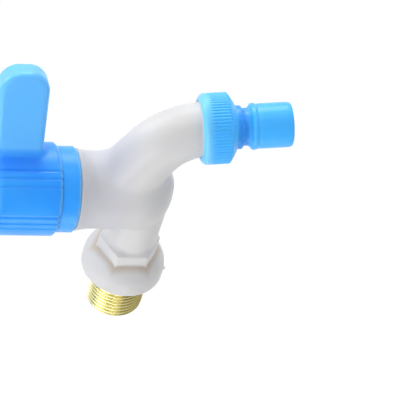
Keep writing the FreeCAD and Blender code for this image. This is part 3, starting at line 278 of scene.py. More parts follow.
def turnedMetal(name, ownLook):
    # lathe-cut metal: fine rings across the axis, a thin uneven tarnish, small pits
    finish, look = Finish(name), {**latheLook, **ownLook}
    rings = finish.node("ShaderNodeTexWave", {"wave_type": "BANDS", "bands_direction": look["axis"]}, {
        "Vector": finish.place, "Scale": look["ringScale"], "Distortion": look["wobble"],
        "Detail": 2.0, "Detail Scale": 2.0})
    tarnish = finish.cloud(look["tarnishScale"], detail=4.0).eased(*look["tarnishSpan"])
    speck = finish.cloud(look["speckScale"], detail=3.0).eased(*look["speckSpan"])
    shade = finish.mixed(tarnish * look["tarnish"], look["colour"], look["colourDull"])
    if "valleyShadeColour" in look:
        # painted shade: the thread's valleys darker than its crests
        offAxis = finish.vector("MULTIPLY", finish.place, (1, 0, 1))
        crest = finish.vector("LENGTH", offAxis, out="Value").eased(*look["valleyShadeTo"])
        shade = finish.mixed(crest, look["valleyShadeColour"], shade)
    # painted dark reflection: the brass darker towards the bottom
    if "darkReflectionColour" in look:
        shade = finish.mixed(1 - finish.across("Z").eased(*look["darkReflectionTo"]), shade, look["darkReflectionColour"])
    height = rings * look["ringHeight"] + finish.cloud(look["grainScale"]) * look["grainHeight"]
    height = height - speck * look["speckHeight"]
    return finish.done({
        "Base Color": shade, "Metallic": 1.0,
        "Roughness": look["roughness"] + tarnish * look["tarnishRough"] + speck * look["speckRough"],
        "Normal": finish.bumped(height, look["ringDepth"], look["rounding"])})


threadBrass = turnedMetal("cutBrass", {
    "axis": "Y", "colour": (0.80, 0.75, 0.41), "colourDull": (0.62, 0.56, 0.25), "tarnish": 0.55,
    # painted shade in the thread's valleys
    "valleyShadeColour": (0.36, 0.31, 0.08), "valleyShadeTo": (9.45, 10.25),
    # painted dark reflection low down
    "darkReflectionColour": (0.29, 0.235, 0.055), "darkReflectionTo": (-11.0, 7.0),
    "ringScale": 4.0, "ringDepth": 0.002, "roughness": 0.26, "rounding": 0.0})
stemBrass = turnedMetal("turnedBrass", {
    "axis": "Z", "colour": (0.78, 0.66, 0.28), "colourDull": (0.58, 0.46, 0.18), "tarnish": 0.5,
    "ringScale": 4.0, "ringDepth": 0.006, "roughness": 0.26, "rounding": 0.08})
screwSteel = turnedMetal("platedSteel", {
    "axis": "Z", "colour": (0.62, 0.63, 0.64), "colourDull": (0.48, 0.48, 0.47), "tarnish": 0.4,
    "ringScale": 5.0, "ringDepth": 0.004, "roughness": 0.28, "rounding": 0.06})


def rubber(name, look):
    # moulded black rubber: matt, with a bloom of paler dust
    finish = Finish(name)
    bloom = finish.cloud(look["bloomScale"], detail=4.0).eased(*look["bloomSpan"])
    shade = finish.mixed(bloom * look["bloomShare"], look["colour"], look["bloomColour"])
    grain = finish.cloud(look["grainScale"], detail=4.0)
    return finish.done({
        "Base Color": shade, "Roughness": look["roughness"] + bloom * look["bloomRough"],
        "Normal": finish.bumped(grain, look["grainDepth"], look["rounding"])})


blackRubber = rubber("sealRubber", {
    "colour": (0.018, 0.018, 0.019), "bloomColour": (0.06, 0.06, 0.062), "bloomScale": 0.5,
    "bloomSpan": (0.4, 0.75), "bloomShare": 0.5, "roughness": 0.62, "bloomRough": 0.18,
    "grainScale": 4.0, "grainDepth": 0.02, "rounding": 0.1})


def ceramic(name, look):
    # fired alumina: close white body, faint speckle, lapped smooth
    finish = Finish(name)
    speckle = finish.cloud(look["speckleScale"], detail=4.0).eased(*look["speckleSpan"])
    shade = finish.mixed(speckle * look["speckleShare"], look["colour"], look["speckleColour"])
    return finish.done({
        "Base Color": shade, "Roughness": look["roughness"] + speckle * look["speckleRough"],
        "Specular IOR Level": look["gloss"],
        "Normal": finish.bumped(speckle, look["speckleDepth"], look["rounding"])})


discCeramic = ceramic("lappedCeramic", {
    "colour": (0.86, 0.84, 0.80), "speckleColour": (0.72, 0.70, 0.66), "speckleScale": 3.5,
    "speckleSpan": (0.55, 0.75), "speckleShare": 0.4, "roughness": 0.22, "speckleRough": 0.1,
    "gloss": 0.6, "speckleDepth": 0.004, "rounding": 0.1})
finishes = {"white_plastic": whitePlastic, "blue_plastic": bluePlastic, "grey_plastic": greyPlastic,
            "thread_brass": threadBrass, "stem_brass": stemBrass, "screw_steel": screwSteel,
            "black_rubber": blackRubber, "disc_ceramic": discCeramic}
slots = {part["node"]: part["material_slot"] for part in record["subparts"]}
for name, cadNode in nodes.items():
    cadNode.data.materials.clear()
    cadNode.data.materials.append(finishes[slots[name]])
print("finishes made:", len(finishes))


# surfaces worked out on grids
def pieceFrom(name, corners, quads, node, body, sharpFrom=50):
    # a mesh from corner places and four-sided faces, which stands for the node and rides on the body;
    # edges that turn by more than sharpFrom degrees are shaded as edges
    a, b, c, d = (corners[quads[:, k]] for k in range(4))
    volume = np.einsum("ij,ij->i", a, np.cross(b, c)).sum() + np.einsum("ij,ij->i", a, np.cross(c, d)).sum()
    if volume < 0:
        quads = quads[:, ::-1]
    mesh = bpy.data.meshes.new(name)
    mesh.vertices.add(len(corners))
    mesh.vertices.foreach_set("co", corners.astype(np.float32).ravel())
    mesh.loops.add(quads.size)
    mesh.loops.foreach_set("vertex_index", np.ascontiguousarray(quads, np.int32).ravel())
    mesh.polygons.add(len(quads))
    mesh.polygons.foreach_set("loop_start", np.arange(0, quads.size, 4, dtype=np.int32))
    mesh.update(calc_edges=True)
    mesh.validate()
    mesh.shade_smooth()
    mesh.set_sharp_from_angle(angle=np.radians(sharpFrom))
    piece = bpy.data.objects.new(name, mesh)
    bpy.context.scene.collection.objects.link(piece)
    mesh.materials.append(finishes[slots[node]])
    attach(piece, body)
    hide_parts(node)
    print("piece made:", name, len(quads), "faces")
    return piece


def ringShell(name, points, node, body, sharpFrom=50):
    # points[i, j] is a grid closed both ways, so the skin is a closed ring
    rows, columns = points.shape[:2]
    i, j = np.meshgrid(np.arange(rows), np.arange(columns), indexing="ij")
    nextI, nextJ = (i + 1) % rows, (j + 1) % columns
    quads = np.stack([i * columns + j, nextI * columns + j, nextI * columns + nextJ, i * columns + nextJ], -1)
    quads = quads.reshape(-1, 4)
    return pieceFrom(name, points.reshape(-1, 3), quads, node, body, sharpFrom)


def softened(corners, radii, steps):
    # each corner of a closed profile becomes a quadratic curve that starts and ends radius away
    corners, radii = np.array(corners, float), np.array(radii, float)
    before, after = np.roll(corners, 1, 0) - corners, np.roll(corners, -1, 0) - corners
    reachIn, reachOut = np.linalg.norm(before, axis=1), np.linalg.norm(after, axis=1)
    cut = np.minimum(radii, 0.48 * np.minimum(reachIn, reachOut))[:, None]   # under half of either side
    start = corners + before / reachIn[:, None] * cut
    end = corners + after / reachOut[:, None] * cut
    t = np.linspace(0, 1, steps)[None, :, None]
    curve = (1 - t) ** 2 * start[:, None] + 2 * t * (1 - t) * corners[:, None] + t ** 2 * end[:, None]
    return curve.reshape(-1, 2)


def spaced(profile, longest):
    # extra points so that no run of a closed profile is longer than longest
    following = np.roll(profile, -1, 0)
    counts = np.maximum(1, np.ceil(np.linalg.norm(following - profile, axis=1) / longest)).astype(int)
    which = np.repeat(np.arange(len(profile)), counts)
    step = np.arange(len(which)) - np.repeat(np.cumsum(counts) - counts, counts)
    share = (step / counts[which])[:, None]
    return profile[which] * (1 - share) + following[which] * share


def turned(profile, columns):
    # the radius, the place along the axis and the angle of every point of a profile turned round it
    angle = np.linspace(0, 2 * np.pi, columns, endpoint=False)
    radius, turn = np.meshgrid(profile[:, 0], angle, indexing="ij")
    return radius, np.repeat(profile[:, 1][:, None], columns, 1), turn


def aroundAxis(origin, axis, radius, along, angle):
    # origin + axis * along + radius * (side * cos angle + side2 * sin angle)
    axis = np.array(axis, float) / np.linalg.norm(axis)
    side = np.array((1.0, 0.0, 0.0))
    side2 = np.cross(axis, side)
    return (np.array(origin, float) + axis * along[..., None]
            + side * (radius * np.cos(angle))[..., None] + side2 * (radius * np.sin(angle))[..., None])


def smooth(share):
    # 0 to 1, eased at both ends
    return share ** 2 * (3 - 2 * share)


def threadVee(along, angle, pitch, flat):
    # 0 on a helical thread's crests, 1 in its valleys; flat is the share of a flank cut off at either end
    wave = np.abs(2 * ((along / pitch - angle / (2 * np.pi)) % 1) - 1)
    return np.clip((wave - flat) / (1 - 2 * flat), 0, 1)


# surfaces worked out from a field: negative inside, zero on the skin, in millimetres
def lower(first, second, blend=0.0):
    # the smaller of two fields, which joins them; blend eases the inner corner where they meet
    if not blend:
        return np.minimum(first, second)
    ease = np.clip(blend - np.abs(first - second), 0, None) / blend
    return np.minimum(first, second) - ease * ease * blend / 4


def upper(first, second, blend=0.0):
    # the larger of two fields, which is their overlap
    return -lower(-first, -second, blend)


def dug(solid, hole, blend=0.0):
    # the solid without the hole
    return upper(solid, -hole, blend)


def rounded(first, second, radius):
    # the overlap of two half-spaces at a right angle, its edge rounded to a radius
    a, b = first + radius, second + radius
    return np.hypot(np.clip(a, 0, None), np.clip(b, 0, None)) + np.minimum(np.maximum(a, b), 0) - radius


def arcMiddle(start, end, radius):
    # middle of the circle through two points of a profile, on the right of the way from start to end
    start, end = np.array(start, float), np.array(end, float)
    chord = end - start
    length = np.hypot(*chord)
    right = np.array((chord[1], -chord[0])) / length
    return (start + end) / 2 + right * np.sqrt(radius ** 2 - length ** 2 / 4)


def slopeOf(field, points, step=0.02):
    offsets = np.eye(3) * step
    return np.stack([field(points + offset) - field(points - offset) for offset in offsets], -1) / (2 * step)


def netted(field, low, high, cell):
    # surface net: a point in every grid cell that the skin crosses, at the mean of its edge crossings, and a
    # quad round every crossed grid edge; Newton steps then carry the points onto the skin itself
    low, cell = np.array(low, float), np.array(cell, float)
    counts = np.ceil((np.array(high) - low) / cell).astype(int) + 1
    ticks = [low[k] + cell[k] * np.arange(counts[k]) for k in range(3)]
    grid = np.stack(np.meshgrid(*ticks, indexing="ij"), -1)
    values = field(grid)
    total, hits = np.zeros((*(counts - 1), 3)), np.zeros(counts - 1)
    crossings, quads = [], []
    for axis in range(3):
        other, last = [k for k in range(3) if k != axis]
        near, far = [slice(None)] * 3, [slice(None)] * 3
        near[axis], far[axis] = slice(None, -1), slice(1, None)
        start, end = values[tuple(near)], values[tuple(far)]
        crossed = (start < 0) != (end < 0)
        share = np.where(crossed, start / np.where(crossed, start - end, 1), 0)
        spot = grid[tuple(near)].copy()
        spot[..., axis] += share * cell[axis]
        for a, b in ((0, 0), (0, 1), (1, 0), (1, 1)):
            take = [slice(None)] * 3
            take[other], take[last] = slice(a, counts[other] - 1 + a), slice(b, counts[last] - 1 + b)
            took = crossed[tuple(take)]
            total += spot[tuple(take)] * took[..., None]
            hits += took
        crossings.append((axis, other, last, crossed, start < 0))
    number = np.full(counts - 1, -1)
    number[hits > 0] = np.arange((hits > 0).sum())
    for axis, other, last, crossed, outward in crossings:
        inner = [slice(None)] * 3
        inner[other], inner[last] = slice(1, -1), slice(1, -1)
        at = np.argwhere(crossed[tuple(inner)])
        at[:, other] += 1
        at[:, last] += 1
        ring = []
        for a, b in ((1, 1), (0, 1), (0, 0), (1, 0)):
            cellAt = at.copy()
            cellAt[:, other] -= a
            cellAt[:, last] -= b
            ring.append(number[tuple(cellAt.T)])
        ring = np.stack(ring, -1)
        flip = outward[tuple(at.T)] == (axis == 1)
        ring[flip] = ring[flip][:, ::-1]
        quads.append(ring)
    points = (total / np.maximum(hits, 1)[..., None])[hits > 0]
    farthest = 0.4 * cell.min()   # that one Newton step may go
    for step in range(4):
        value, slope = field(points), slopeOf(field, points)
        steep = np.linalg.norm(slope, axis=1).clip(0.3)   # held up where two fields meet in a corner
        points = points - slope * (value / steep ** 2).clip(-farthest, farthest)[:, None]
    return points, np.concatenate(quads)


def fieldPiece(name, field, look, node, body):
    points, quads = netted(field, look["low"], look["high"], look["cell"])
    return pieceFrom(name, points * mm, quads, node, body)


insertLook = {
    "crestR": 10.4775, "deep": 1.16, "pitch": 1.814, "flat": 0.17, "threadStart": 1.17, "runout": 1.6,
    "end": 18.5, "bevel": 1.0, "boreR": 6.5, "boreBevel": 0.7, "anchorAcross": 16.4, "anchorLong": 8.2,
    "anchorCorner": 1.1, "anchorRows": 8, "columns": 300, "rowsPerTurn": 18}


def makeInletInsert(look):
    # outside radius = hexagon inside the body, else a helix: crest - deep * valley(y / pitch - angle / turn),
    # valley a 55 degree vee with eased corners; it fades in over the runout and is cut by the end's bevel
    end, boreR, boreBevel, anchorLong = look["end"], look["boreR"], look["boreBevel"], look["anchorLong"]
    thread = np.arange(0.0, end + 1e-6, look["pitch"] / look["rowsPerTurn"])
    anchor = np.linspace(-anchorLong, -0.001, look["anchorRows"])
    angle = np.linspace(0, 2 * np.pi, look["columns"], endpoint=False)
    y, turn = np.meshgrid(np.concatenate([anchor, thread]), angle, indexing="ij")
    vee = threadVee(y, turn, look["pitch"], look["flat"])
    valley = 0.5 * vee + 0.5 * smooth(vee)
    fade = np.clip((y - look["threadStart"]) / look["runout"], 0, 1)
    threadR = look["crestR"] - look["deep"] * valley * fade
    threadR = np.minimum(threadR, look["crestR"] - look["bevel"] + (end - y))
    flatR = look["anchorAcross"] / 2
    flatTurn = (turn + np.pi / 6) % (np.pi / 3) - np.pi / 6
    anchorR = np.minimum(flatR / np.cos(flatTurn), flatR * look["anchorCorner"])
    outer = np.where(y < 0, anchorR, threadR)
    bore = np.array([(boreR + boreBevel, end), (boreR, end - boreBevel), (boreR, end * 0.5),
                     (boreR, -anchorLong)])
    innerR, innerY, innerTurn = turned(bore, look["columns"])
    radius = np.concatenate([outer, innerR]) * mm
    along = np.concatenate([y, innerY]) * mm
    points = aroundAxis((0, 0, 0), (0, 1, 0), radius, along, np.concatenate([turn, innerTurn]))
    return ringShell("inletThread", points, "inlet_insert", "tap_body", sharpFrom=75)


makeInletInsert(insertLook)

nutLook = {
    "start": -3.1, "wide": -2.0, "knurlStart": -0.7, "knurlFade": 1.1, "knurlEnd": 6.7, "end": 9.1,
    "fadeEnd": 0.6, "fadeLong": 1.6, "r": 12.35, "ribs": 66, "ribDeep": 0.26, "ribSharp": 1.3,
    "topR": 10.8, "coneR": 8.55, "holeR": 7.7, "lipR": 9.99, "boreR": 10.0, "boreEnd": 5.8,
    "wall": 0.75, "radii": [0.15, 0.1, 0.1, 0.25, 0.6, 0.5, 0.9, 0.5], "steps": 6, "longest": 0.4,
    "columns": 66 * 12}


def makeRingNut(look):
    # a softened ring profile; where the knurl is, radius = r - depth * valley(ribs * angle), valley eased
    # between broad rounded ribs, which fade in after the plain band and out before the small end
    start, end, boreEnd = look["start"], look["end"], look["boreEnd"]
    corners = [(look["lipR"], start), (look["boreR"], boreEnd), (look["holeR"], boreEnd),
               (look["holeR"], end), (look["coneR"], end), (look["r"], look["knurlEnd"]),
               (look["r"], look["wide"]), (look["topR"], start)]
    profile = spaced(softened(corners, look["radii"], look["steps"]), look["longest"])
    radius, along, turn = turned(profile, look["columns"])
    valley = (1 - np.abs(np.cos(look["ribs"] * turn / 2))) ** look["ribSharp"]
    fadeIn = np.clip((along - look["knurlStart"]) / look["knurlFade"], 0, 1)
    fadeOut = np.clip((end - look["fadeEnd"] - along) / look["fadeLong"], 0, 1)
    outside = radius > look["boreR"] + look["wall"]
    radius = radius - look["ribDeep"] * valley * (smooth(fadeIn) * fadeOut) * outside
    points = aroundAxis(outletMark, outletAxis, radius * mm, along * mm, turn)
    return ringShell("ringNut", points, "ring_nut", "union_nut", sharpFrom=60)


makeRingNut(nutLook)

# low and high are corners in the part's own place; every other y counts from the valve's axis, which
# stands reach before the wall, and the spout's pairs are such a y with a z
bodyLook = {
    "low": (-16.2, -91.5, -29.5), "high": (16.2, 1.2, 30.0), "cell": (0.5, 0.5, 0.5), "reach": 42.3,
    "barrelR": 13.6, "barrelFoot": 3.6, "shoulder": 24.6, "flareTall": 7.1, "flareStep": 0.9,
    "shoulderRound": 0.3, "threadR": 12.6, "top": 28.6, "topRound": 0.4,
    "chamberR": 10.4, "seatUp": 6.8, "seatR": 8.9, "seatFoot": -2.0, "portR": 4.5, "portRound": 0.3,
    "runFrom": (-0.9003, 10.8648), "boreFrom": (-4.5016, 9.1238), "run": (-0.900319, -0.435231),
    "bendStart": (-21.7877, 0.7674), "bendMiddle": (-12.1256, -19.2197), "bendR": 22.2,
    "bendEnd": (-34.1694, -16.5911), "out": (-0.118404, -0.992966), "outEnd": 2.4, "outPast": 9.0,
    "spoutR": (11.2, 9.2), "spoutBoreR": (6.6, 6.2), "mouthRound": 0.3,
    "outThreadR": 9.95, "outThreadLong": 5.4, "outThreadDeep": 0.7, "outPitch": 1.814,
    "outThreadFlat": 0.2, "outThreadTop": -8.0,
    "neckDrop": 0.7, "neckR": (9.5, 8.7), "domeAhead": 4.0,
    "hexFlat": 9.7, "hexFrom": 26.1, "hexTo": 31.5, "hexRound": 0.35, "hexEndRound": 0.4,
    "crownFrom": (30.3, 10.2), "crownR": 16.0, "rimFrom": 37.7, "rimR": 14.9685, "rimTaper": 0.12,
    "rimLong": 4.6, "rimRound": 0.8, "wallRound": 0.35,
    "gateAngle": 12.5, "gateR": 0.6, "gateStub": 0.5, "gateAhead": 2.3, "gateRound": 0.2, "gateBlend": 0.3,
    "boreR": 4.8, "boreBlend": 0.3, "anchorFlat": 8.2, "anchorFrom": 34.1,
    "grooveIn": 11.2185, "grooveWide": 2.0, "grooveFrom": 39.7, "grooveRound": 0.25, "grooveBlend": 0.2,
    "spoutBlend": 3.6, "neckBlend": 1.6, "hexBlend": 2.6, "crownBlend": 0.5,
    "through": 1.0, "farOff": 9.0}


def tube(look, x, y, z, start, radii, end):
    # distance to the spout's middle line (a run, an arc and the way out) less a radius that eases along it
    run, out = look["run"], look["out"]
    sy, sz = look["bendStart"]
    my, mz = look["bendMiddle"]
    ey, ez = look["bendEnd"]
    runLong = np.hypot(sy - start[0], sz - start[1])
    t = np.clip((y - start[0]) * run[0] + (z - start[1]) * run[1], 0, runLong)
    offRun = np.hypot(y - start[0] - t * run[0], z - start[1] - t * run[1])
    r = look["bendR"]
    first, final = np.arctan2(sz - mz, sy - my), np.arctan2(ez - mz, ey - my)
    turn = np.clip(np.mod(np.arctan2(z - mz, y - my), 2 * np.pi), first, final)
    offArc = np.hypot(y - my - r * np.cos(turn), z - mz - r * np.sin(turn))
    past = np.clip((y - ey) * out[0] + (z - ez) * out[1], 0, end + look["outPast"])
    offOut = np.hypot(y - ey - past * out[0], z - ez - past * out[1])
    arcLong = r * (final - first)
    whole = runLong + arcLong + end

    def less(off, travelled):
        return np.hypot(x, off) - radii[0] - (radii[1] - radii[0]) * np.clip(travelled / whole, 0, 1)

    skin = np.minimum(less(offRun, t), less(offArc, runLong + r * (turn - first)))
    return np.minimum(skin, less(offOut, runLong + arcLong + past))


def outletField(look, x, y, z):
    # the spout with its threaded end: radius = crest - depth * valley(w / pitch - angle / turn), where w is
    # the distance past the bend's end
    ey, ez = look["bendEnd"]
    out, threadStart = look["out"], look["outEnd"] - look["outThreadLong"]
    w = (y - ey) * out[0] + (z - ez) * out[1]
    sideOut = (y - ey) * out[1] - (z - ez) * out[0]
    valley = smooth(threadVee(w, np.arctan2(sideOut, x), look["outPitch"], look["outThreadFlat"]))
    fromOut = np.hypot(x, sideOut) + valley * look["outThreadDeep"] * np.clip(w - threadStart, 0, 1)
    thread = upper(fromOut - look["outThreadR"], threadStart - w)
    thread = np.where(z < look["outThreadTop"], thread, look["farOff"])
    spout = tube(look, x, y, z, look["runFrom"], look["spoutR"], look["outEnd"])
    return rounded(lower(spout, thread), w - look["outEnd"], look["mouthRound"])


def bodyField(p):
    # barrel, spout, neck, hexagon and flange as fields about their axes, joined with eased corners, bored out
    look = bodyLook
    x, y, z = p[..., 0], p[..., 1] + look["reach"], p[..., 2]
    fromValve, fromInlet = np.hypot(x, y), np.hypot(x, z)
    foot, shoulder = look["barrelFoot"], look["shoulder"]
    flareR = (look["flareTall"] ** 2 + look["flareStep"] ** 2) / (2 * look["flareStep"])
    rise = np.clip(z - shoulder + look["flareTall"], 0, look["flareTall"])
    wall = look["barrelR"] + flareR - np.sqrt(flareR ** 2 - rise ** 2)
    barrel = np.where(z > foot, fromValve - wall, np.hypot(fromValve, z - foot) - look["barrelR"])
    barrel = rounded(barrel, z - shoulder, look["shoulderRound"])
    top = rounded(fromValve - look["threadR"], z - look["top"], look["topRound"])
    barrel = lower(barrel, upper(top, foot - z))

    neckAt, dome = np.hypot(x, z + look["neckDrop"]), look["domeAhead"]
    share = np.clip((y + dome) / (look["crownFrom"][0] + dome), 0, 1)
    neckR = look["neckR"][0] + (look["neckR"][1] - look["neckR"][0]) * share
    neck = np.where(y > -dome, neckAt - neckR, np.hypot(neckAt, y + dome) - neckR)
    neck = upper(neck, y - look["hexTo"])

    turns = [k * np.pi / 3 for k in range(3)]
    flats = [np.abs(x * np.cos(turn) + z * np.sin(turn)) for turn in turns]
    sides = [flat - look["hexFlat"] for flat in flats]
    prism = rounded(rounded(sides[0], sides[1], look["hexRound"]), sides[2], look["hexRound"])
    hexMiddle, hexHalf = (look["hexFrom"] + look["hexTo"]) / 2, (look["hexTo"] - look["hexFrom"]) / 2
    hexagon = rounded(prism, np.abs(y - hexMiddle) - hexHalf, look["hexEndRound"])

    crown = arcMiddle(look["crownFrom"], (look["rimFrom"], look["rimR"]), look["crownR"])
    fromCrown = np.hypot(y - crown[0], fromInlet - crown[1])
    rim = look["rimR"] - look["rimTaper"] * np.clip((y - look["rimFrom"]) / look["rimLong"], 0, 1)
    flange = upper(fromCrown - look["crownR"], fromInlet - rim, look["rimRound"])
    flange = rounded(flange, y - look["reach"], look["wallRound"])
    gate = np.radians(look["gateAngle"])
    gateX, gateZ = -look["rimR"] * np.sin(gate), -look["rimR"] * np.cos(gate)
    fromGate = np.hypot(x - gateX, y - look["rimFrom"] - look["gateAhead"])
    stub = rounded(fromGate - look["gateR"], np.abs(z - gateZ) - look["gateStub"], look["gateRound"])

    solid = lower(barrel, outletField(look, x, y, z), look["spoutBlend"])
    solid = lower(solid, neck, look["neckBlend"])
    solid = lower(solid, hexagon, look["hexBlend"])
    solid = lower(solid, flange, look["crownBlend"])
    solid = lower(solid, stub, look["gateBlend"])

    # the chamber and its seat, and the waterways; through is how far a hole runs past what it opens
    seatUp, through = look["seatUp"], look["through"]
    solid = dug(solid, upper(fromValve - look["chamberR"], seatUp - z))
    bore = tube(look, x, y, z, look["boreFrom"], look["spoutBoreR"], look["outEnd"] + through)
    solid = dug(solid, bore, look["boreBlend"])
    solid = lower(solid, upper(fromValve - look["seatR"], np.maximum(z - seatUp, look["seatFoot"] - z)))
    port = upper(fromValve - look["portR"], np.maximum(-z, z - seatUp - through))
    solid = dug(solid, port, look["portRound"])
    inlet = np.where(y > 0, fromInlet, np.hypot(fromInlet, y)) - look["boreR"]
    solid = dug(solid, upper(inlet, y - look["anchorFrom"] - through))
    pocket = np.maximum(np.maximum(flats[0], flats[1]), flats[2]) - look["anchorFlat"]
    solid = dug(solid, upper(pocket, look["anchorFrom"] - y))
    half = look["grooveWide"] / 2
    ring = np.abs(fromInlet - look["grooveIn"] - half) - half
    return dug(solid, rounded(ring, look["grooveFrom"] - y, look["grooveRound"]), look["grooveBlend"])


fieldPiece("tapBody", bodyField, bodyLook, "faucet_body", "tap_body")

# u runs across the lever and v along it, away from its tip; rest is the lever's turn in degrees
handleLook = {
    "low": (-17.4, -83.5, 31.0), "high": (28.0, -25.0, 57.2), "cell": (0.36, 0.36, 0.5), "reach": 42.3,
    "rest": 32.7, "capR": 16.397, "capLow": 31.33, "bevel": 1.3, "bevelRound": 0.25, "lowRound": 0.08,
    "shoulder": 52.4, "shoulderR": 4.2, "crownEdge": (12.6, 55.8), "capTop": 56.4, "wall": 2.0,
    "cavityRound": 0.2, "hubR": 6.6, "hubLow": 37.2, "hubRound": 0.4, "socketR": 4.0, "socketTop": 48.7,
    "screwR": 2.1, "web": 50.3, "wellR": 5.0, "wellRound": 0.2,
    "leverReach": 44.8, "leverHigh": 54.6, "leverRootLow": 37.3, "leverLow": 36.5, "leverRoot": 15.1,
    "leverTipR": 8.0, "leverTipLowR": 6.9, "leverTipSlant": 0.15, "leverLowSlant": 0.04,
    "leverFar": 4.3, "leverFarRound": 3.4, "leverNear": 7.0, "leverNearRound": 2.2, "leverBlend": 2.2,
    "gripR": 0.55, "gripDeep": 0.4, "gripRound": 0.15, "gripAngle": 10.2, "gripGroup": 60.0,
    "gripGroups": 5}


def handleField(p):
    # the cap as a turned field, the lever as an outline with rounded edges, joined with an eased corner
    look = handleLook
    rest = np.radians(look["rest"])
    x, y, z = p[..., 0], p[..., 1] + look["reach"], p[..., 2]
    u, v = x * np.cos(rest) + y * np.sin(rest), y * np.cos(rest) - x * np.sin(rest)
    r, capR, low = np.hypot(u, v), look["capR"], look["capLow"]
    edgeR, edgeUp = look["crownEdge"]
    rise = look["capTop"] - edgeUp
    crownR = (edgeR ** 2 + rise ** 2) / (2 * rise)
    crown = np.hypot(r, z - look["capTop"] + crownR) - crownR
    midR, midUp = arcMiddle(look["crownEdge"], (capR, look["shoulder"]), look["shoulderR"])
    shoulder = np.hypot(r - midR, z - midUp) - look["shoulderR"]
    solid = np.maximum(np.where((r > edgeR) & (z > midUp), shoulder, crown), r - capR)
    bevel = (r - z - capR + look["bevel"] + low) / np.sqrt(2)
    solid = upper(solid, upper(low - z, bevel, look["lowRound"]), look["bevelRound"])

    tip, root = -look["leverReach"], -look["leverRoot"]
    slope = (look["leverRootLow"] - look["leverLow"]) / (root - tip - look["leverTipR"])
    under = look["leverRootLow"] + (v - root) * slope - z + (look["leverFar"] - u) * look["leverLowSlant"]
    end = tip - v + (look["leverFar"] - u) * look["leverTipSlant"]
    outline = np.maximum(rounded(end, z - look["leverHigh"], look["leverTipR"]),
                         rounded(end, under, look["leverTipLowR"]))
    far = rounded(outline, u - look["leverFar"], look["leverFarRound"])
    near = rounded(outline, -u - look["leverNear"], look["leverNearRound"])
    solid = lower(solid, upper(upper(far, near), v - root), look["leverBlend"])

    gripAt = capR - np.clip(look["bevel"] + low - z, 0, look["bevel"]) + look["gripR"] - look["gripDeep"]
    for group in range(look["gripGroups"]):
        for side in (-1, 0, 1):
            angle = np.radians(look["gripGroup"] * group + look["gripGroup"] - 90 + look["gripAngle"] * side)
            groove = np.hypot(u - gripAt * np.cos(angle), v - gripAt * np.sin(angle)) - look["gripR"]
            solid = dug(solid, groove, look["gripRound"])

    # hollow under its wall, but for the hub that holds the stem and the screw
    inner, ceiling = capR - look["wall"], edgeUp - look["wall"]
    drop = (ceiling - look["shoulder"], inner - edgeR)
    slant = ((r - inner) * drop[0] + (z - look["shoulder"]) * drop[1]) / np.hypot(*drop)
    cavity = np.maximum(np.maximum(r - inner, z - ceiling), slant)
    hub = np.maximum(r - look["hubR"], look["hubLow"] - z)
    solid = dug(solid, dug(cavity, hub, look["hubRound"]), look["cavityRound"])
    solid = dug(solid, np.maximum(r - look["socketR"], z - look["socketTop"]))
    solid = dug(solid, np.maximum(r - look["screwR"], z - look["web"]))
    return dug(solid, np.maximum(r - look["wellR"], look["web"] - z), look["wellRound"])


fieldPiece("leverHandle", handleField, handleLook, "handle", "lever_handle")

# a corner is its radius and its place along the outlet's axis
nozzleLook = {
    "corners": [(5.6, 4.1), (5.6, 28.9), (7.535, 28.9), (7.85, 27.7), (7.85, 17.5), (7.73, 16.6),
                (8.15, 16.1), (8.15, 14.9), (6.55, 13.8), (6.55, 11.7), (7.55, 11.3), (7.55, 5.8),
                (9.7, 5.8), (9.7, 4.1)],
    "radii": [0.2, 0.45, 0.8, 0.6, 1.2, 0.3, 0.5, 0.6, 0.9, 0.35, 0.45, 0.1, 0.15, 0.15], "steps": 7,
    "longest": 0.8, "columns": 160}


def makeNozzle(look):
    # a softened closed profile turned about the outlet's axis
    profile = spaced(softened(look["corners"], look["radii"], look["steps"]), look["longest"])
    radius, along, turn = turned(profile, look["columns"])
    points = aroundAxis(outletMark, outletAxis, radius * mm, along * mm, turn)
    return ringShell("hoseNozzle", points, "nozzle", "hose_nozzle", sharpFrom=60)


makeNozzle(nozzleLook)
print("pieces made")


# stage, light and camera
def makeStage(look):
    # a matt floor that takes shadows; plain is the share of plain white where it is looked at
    half, up = look["half"], look["up"]
    mesh = bpy.data.meshes.new("floor")
    corners = [(-half, -half, up), (half, -half, up), (half, half, up), (-half, half, up)]
    mesh.from_pydata(corners, [], [(0, 1, 2, 3)])
    floor = bpy.data.objects.new("floor", mesh)
    bpy.context.scene.collection.objects.link(floor)
    paper = Finish("paleFloor")
    shade = paper.mixed(paper.cloud(look["patchScale"], detail=3.0), look["colour"], look["colourFar"])
    matt = paper.node("ShaderNodeBsdfDiffuse", sockets={"Color": shade})
    plain = paper.node("ShaderNodeEmission", sockets={"Strength": look["plainStrength"]})
    both = paper.node("ShaderNodeMixShader", sockets={0: paper.seen() * look["plain"], 1: matt, 2: plain})
    paper.node("ShaderNodeOutputMaterial", sockets={"Surface": both}, out=None)
    mesh.materials.append(paper.holder)


makeStage({"half": 3.0, "up": -0.26, "colour": (0.86, 0.86, 0.86), "colourFar": (0.9, 0.9, 0.9),
           "patchScale": 0.01, "plain": 0.94, "plainStrength": 1.06})


def makeSky(look):
    # a faint even light on the object, and plain white where the sky is looked at
    sky = NodeTree(bpy.data.worlds.new("studioSky"))
    bpy.context.scene.world = sky.holder
    colour, strength = (*look["colour"], 1), look["strength"]
    soft = sky.node("ShaderNodeBackground", sockets={"Color": colour, "Strength": strength})
    white = sky.node("ShaderNodeBackground", sockets={"Color": (1, 1, 1, 1), "Strength": 1.0})
    both = sky.node("ShaderNodeMixShader", sockets={0: sky.seen(), 1: soft, 2: white})
    sky.node("ShaderNodeOutputWorld", sockets={"Surface": both}, out=None)


makeSky({"colour": (0.97, 0.98, 1.0), "strength": 0.10})

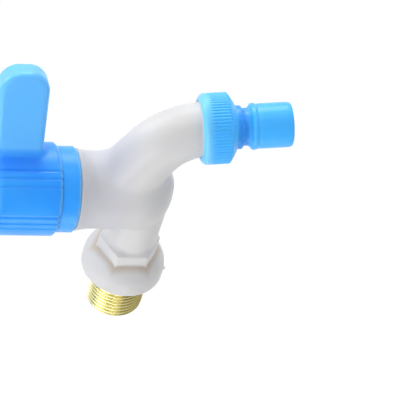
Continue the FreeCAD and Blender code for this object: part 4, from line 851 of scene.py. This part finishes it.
# each lamp's direction from the object's middle and its power in watts
lampLook = {
    "middle": (0.0, -0.055, 0.005), "away": 0.75, "size": 0.3, "colour": (1.0, 1.0, 1.0), "lamps": {
        "overLamp": ((0.780, -0.626, 0.016), 2.90), "overTopLamp": ((0.649, -0.303, 0.698), 2.66),
        "overFrontLamp": ((0.120, -0.976, 0.181), 1.19), "topFrontLamp": ((-0.334, -0.394, 0.856), 1.54),
        "frontLamp": ((-0.611, -0.755, 0.240), 0.70), "underLamp": ((-0.780, 0.626, -0.016), 1.19),
        "underTopLamp": ((-0.454, 0.582, 0.675), 1.75), "underFrontLamp": ((-0.723, 0.040, 0.690), 2.17)}}


def makeLamps(look):
    # square area lamps on rays from the object's middle, turned to face it
    for name, (direction, power) in look["lamps"].items():
        lamp = bpy.data.lights.new(name, "AREA")
        lamp.shape, lamp.size, lamp.size_y = "RECTANGLE", look["size"], look["size"]
        lamp.energy, lamp.color = power, look["colour"]
        holder = bpy.data.objects.new(name, lamp)
        ray = Vector(direction).normalized()
        holder.location = Vector(look["middle"]) + ray * look["away"]
        holder.rotation_euler = ray.to_track_quat("Z", "Y").to_euler()
        bpy.context.scene.collection.objects.link(holder)


makeLamps(lampLook)


def makeCamera(look):
    # long lens one metre away; the picture is turned so that its left is the tap's top
    lens = bpy.data.cameras.new("photoCamera")
    lens.sensor_fit, lens.sensor_width, lens.lens = "HORIZONTAL", look["sensor"], look["lens"]
    lens.clip_start, lens.clip_end = look["clip"]
    camera = bpy.data.objects.new("photoCamera", lens)
    right, up, back = (Vector(look[key]).normalized() for key in ("right", "up", "back"))
    turn = Matrix((right, up, back)).transposed().to_4x4()
    camera.matrix_world = Matrix.Translation(look["at"]) @ turn
    bpy.context.scene.collection.objects.link(camera)
    bpy.context.scene.camera = camera


makeCamera({"at": (-0.615987, -0.798769, 0.220742), "sensor": 36.0, "lens": 256.5, "clip": (0.05, 20.0),
            "right": (-0.137934, -0.197367, -0.970577), "up": (0.779812, -0.625798, 0.016433),
            "back": (-0.610628, -0.754602, 0.240228)})
bpy.context.scene.view_settings.view_transform = "Standard"
print("stage, lamps and camera set")
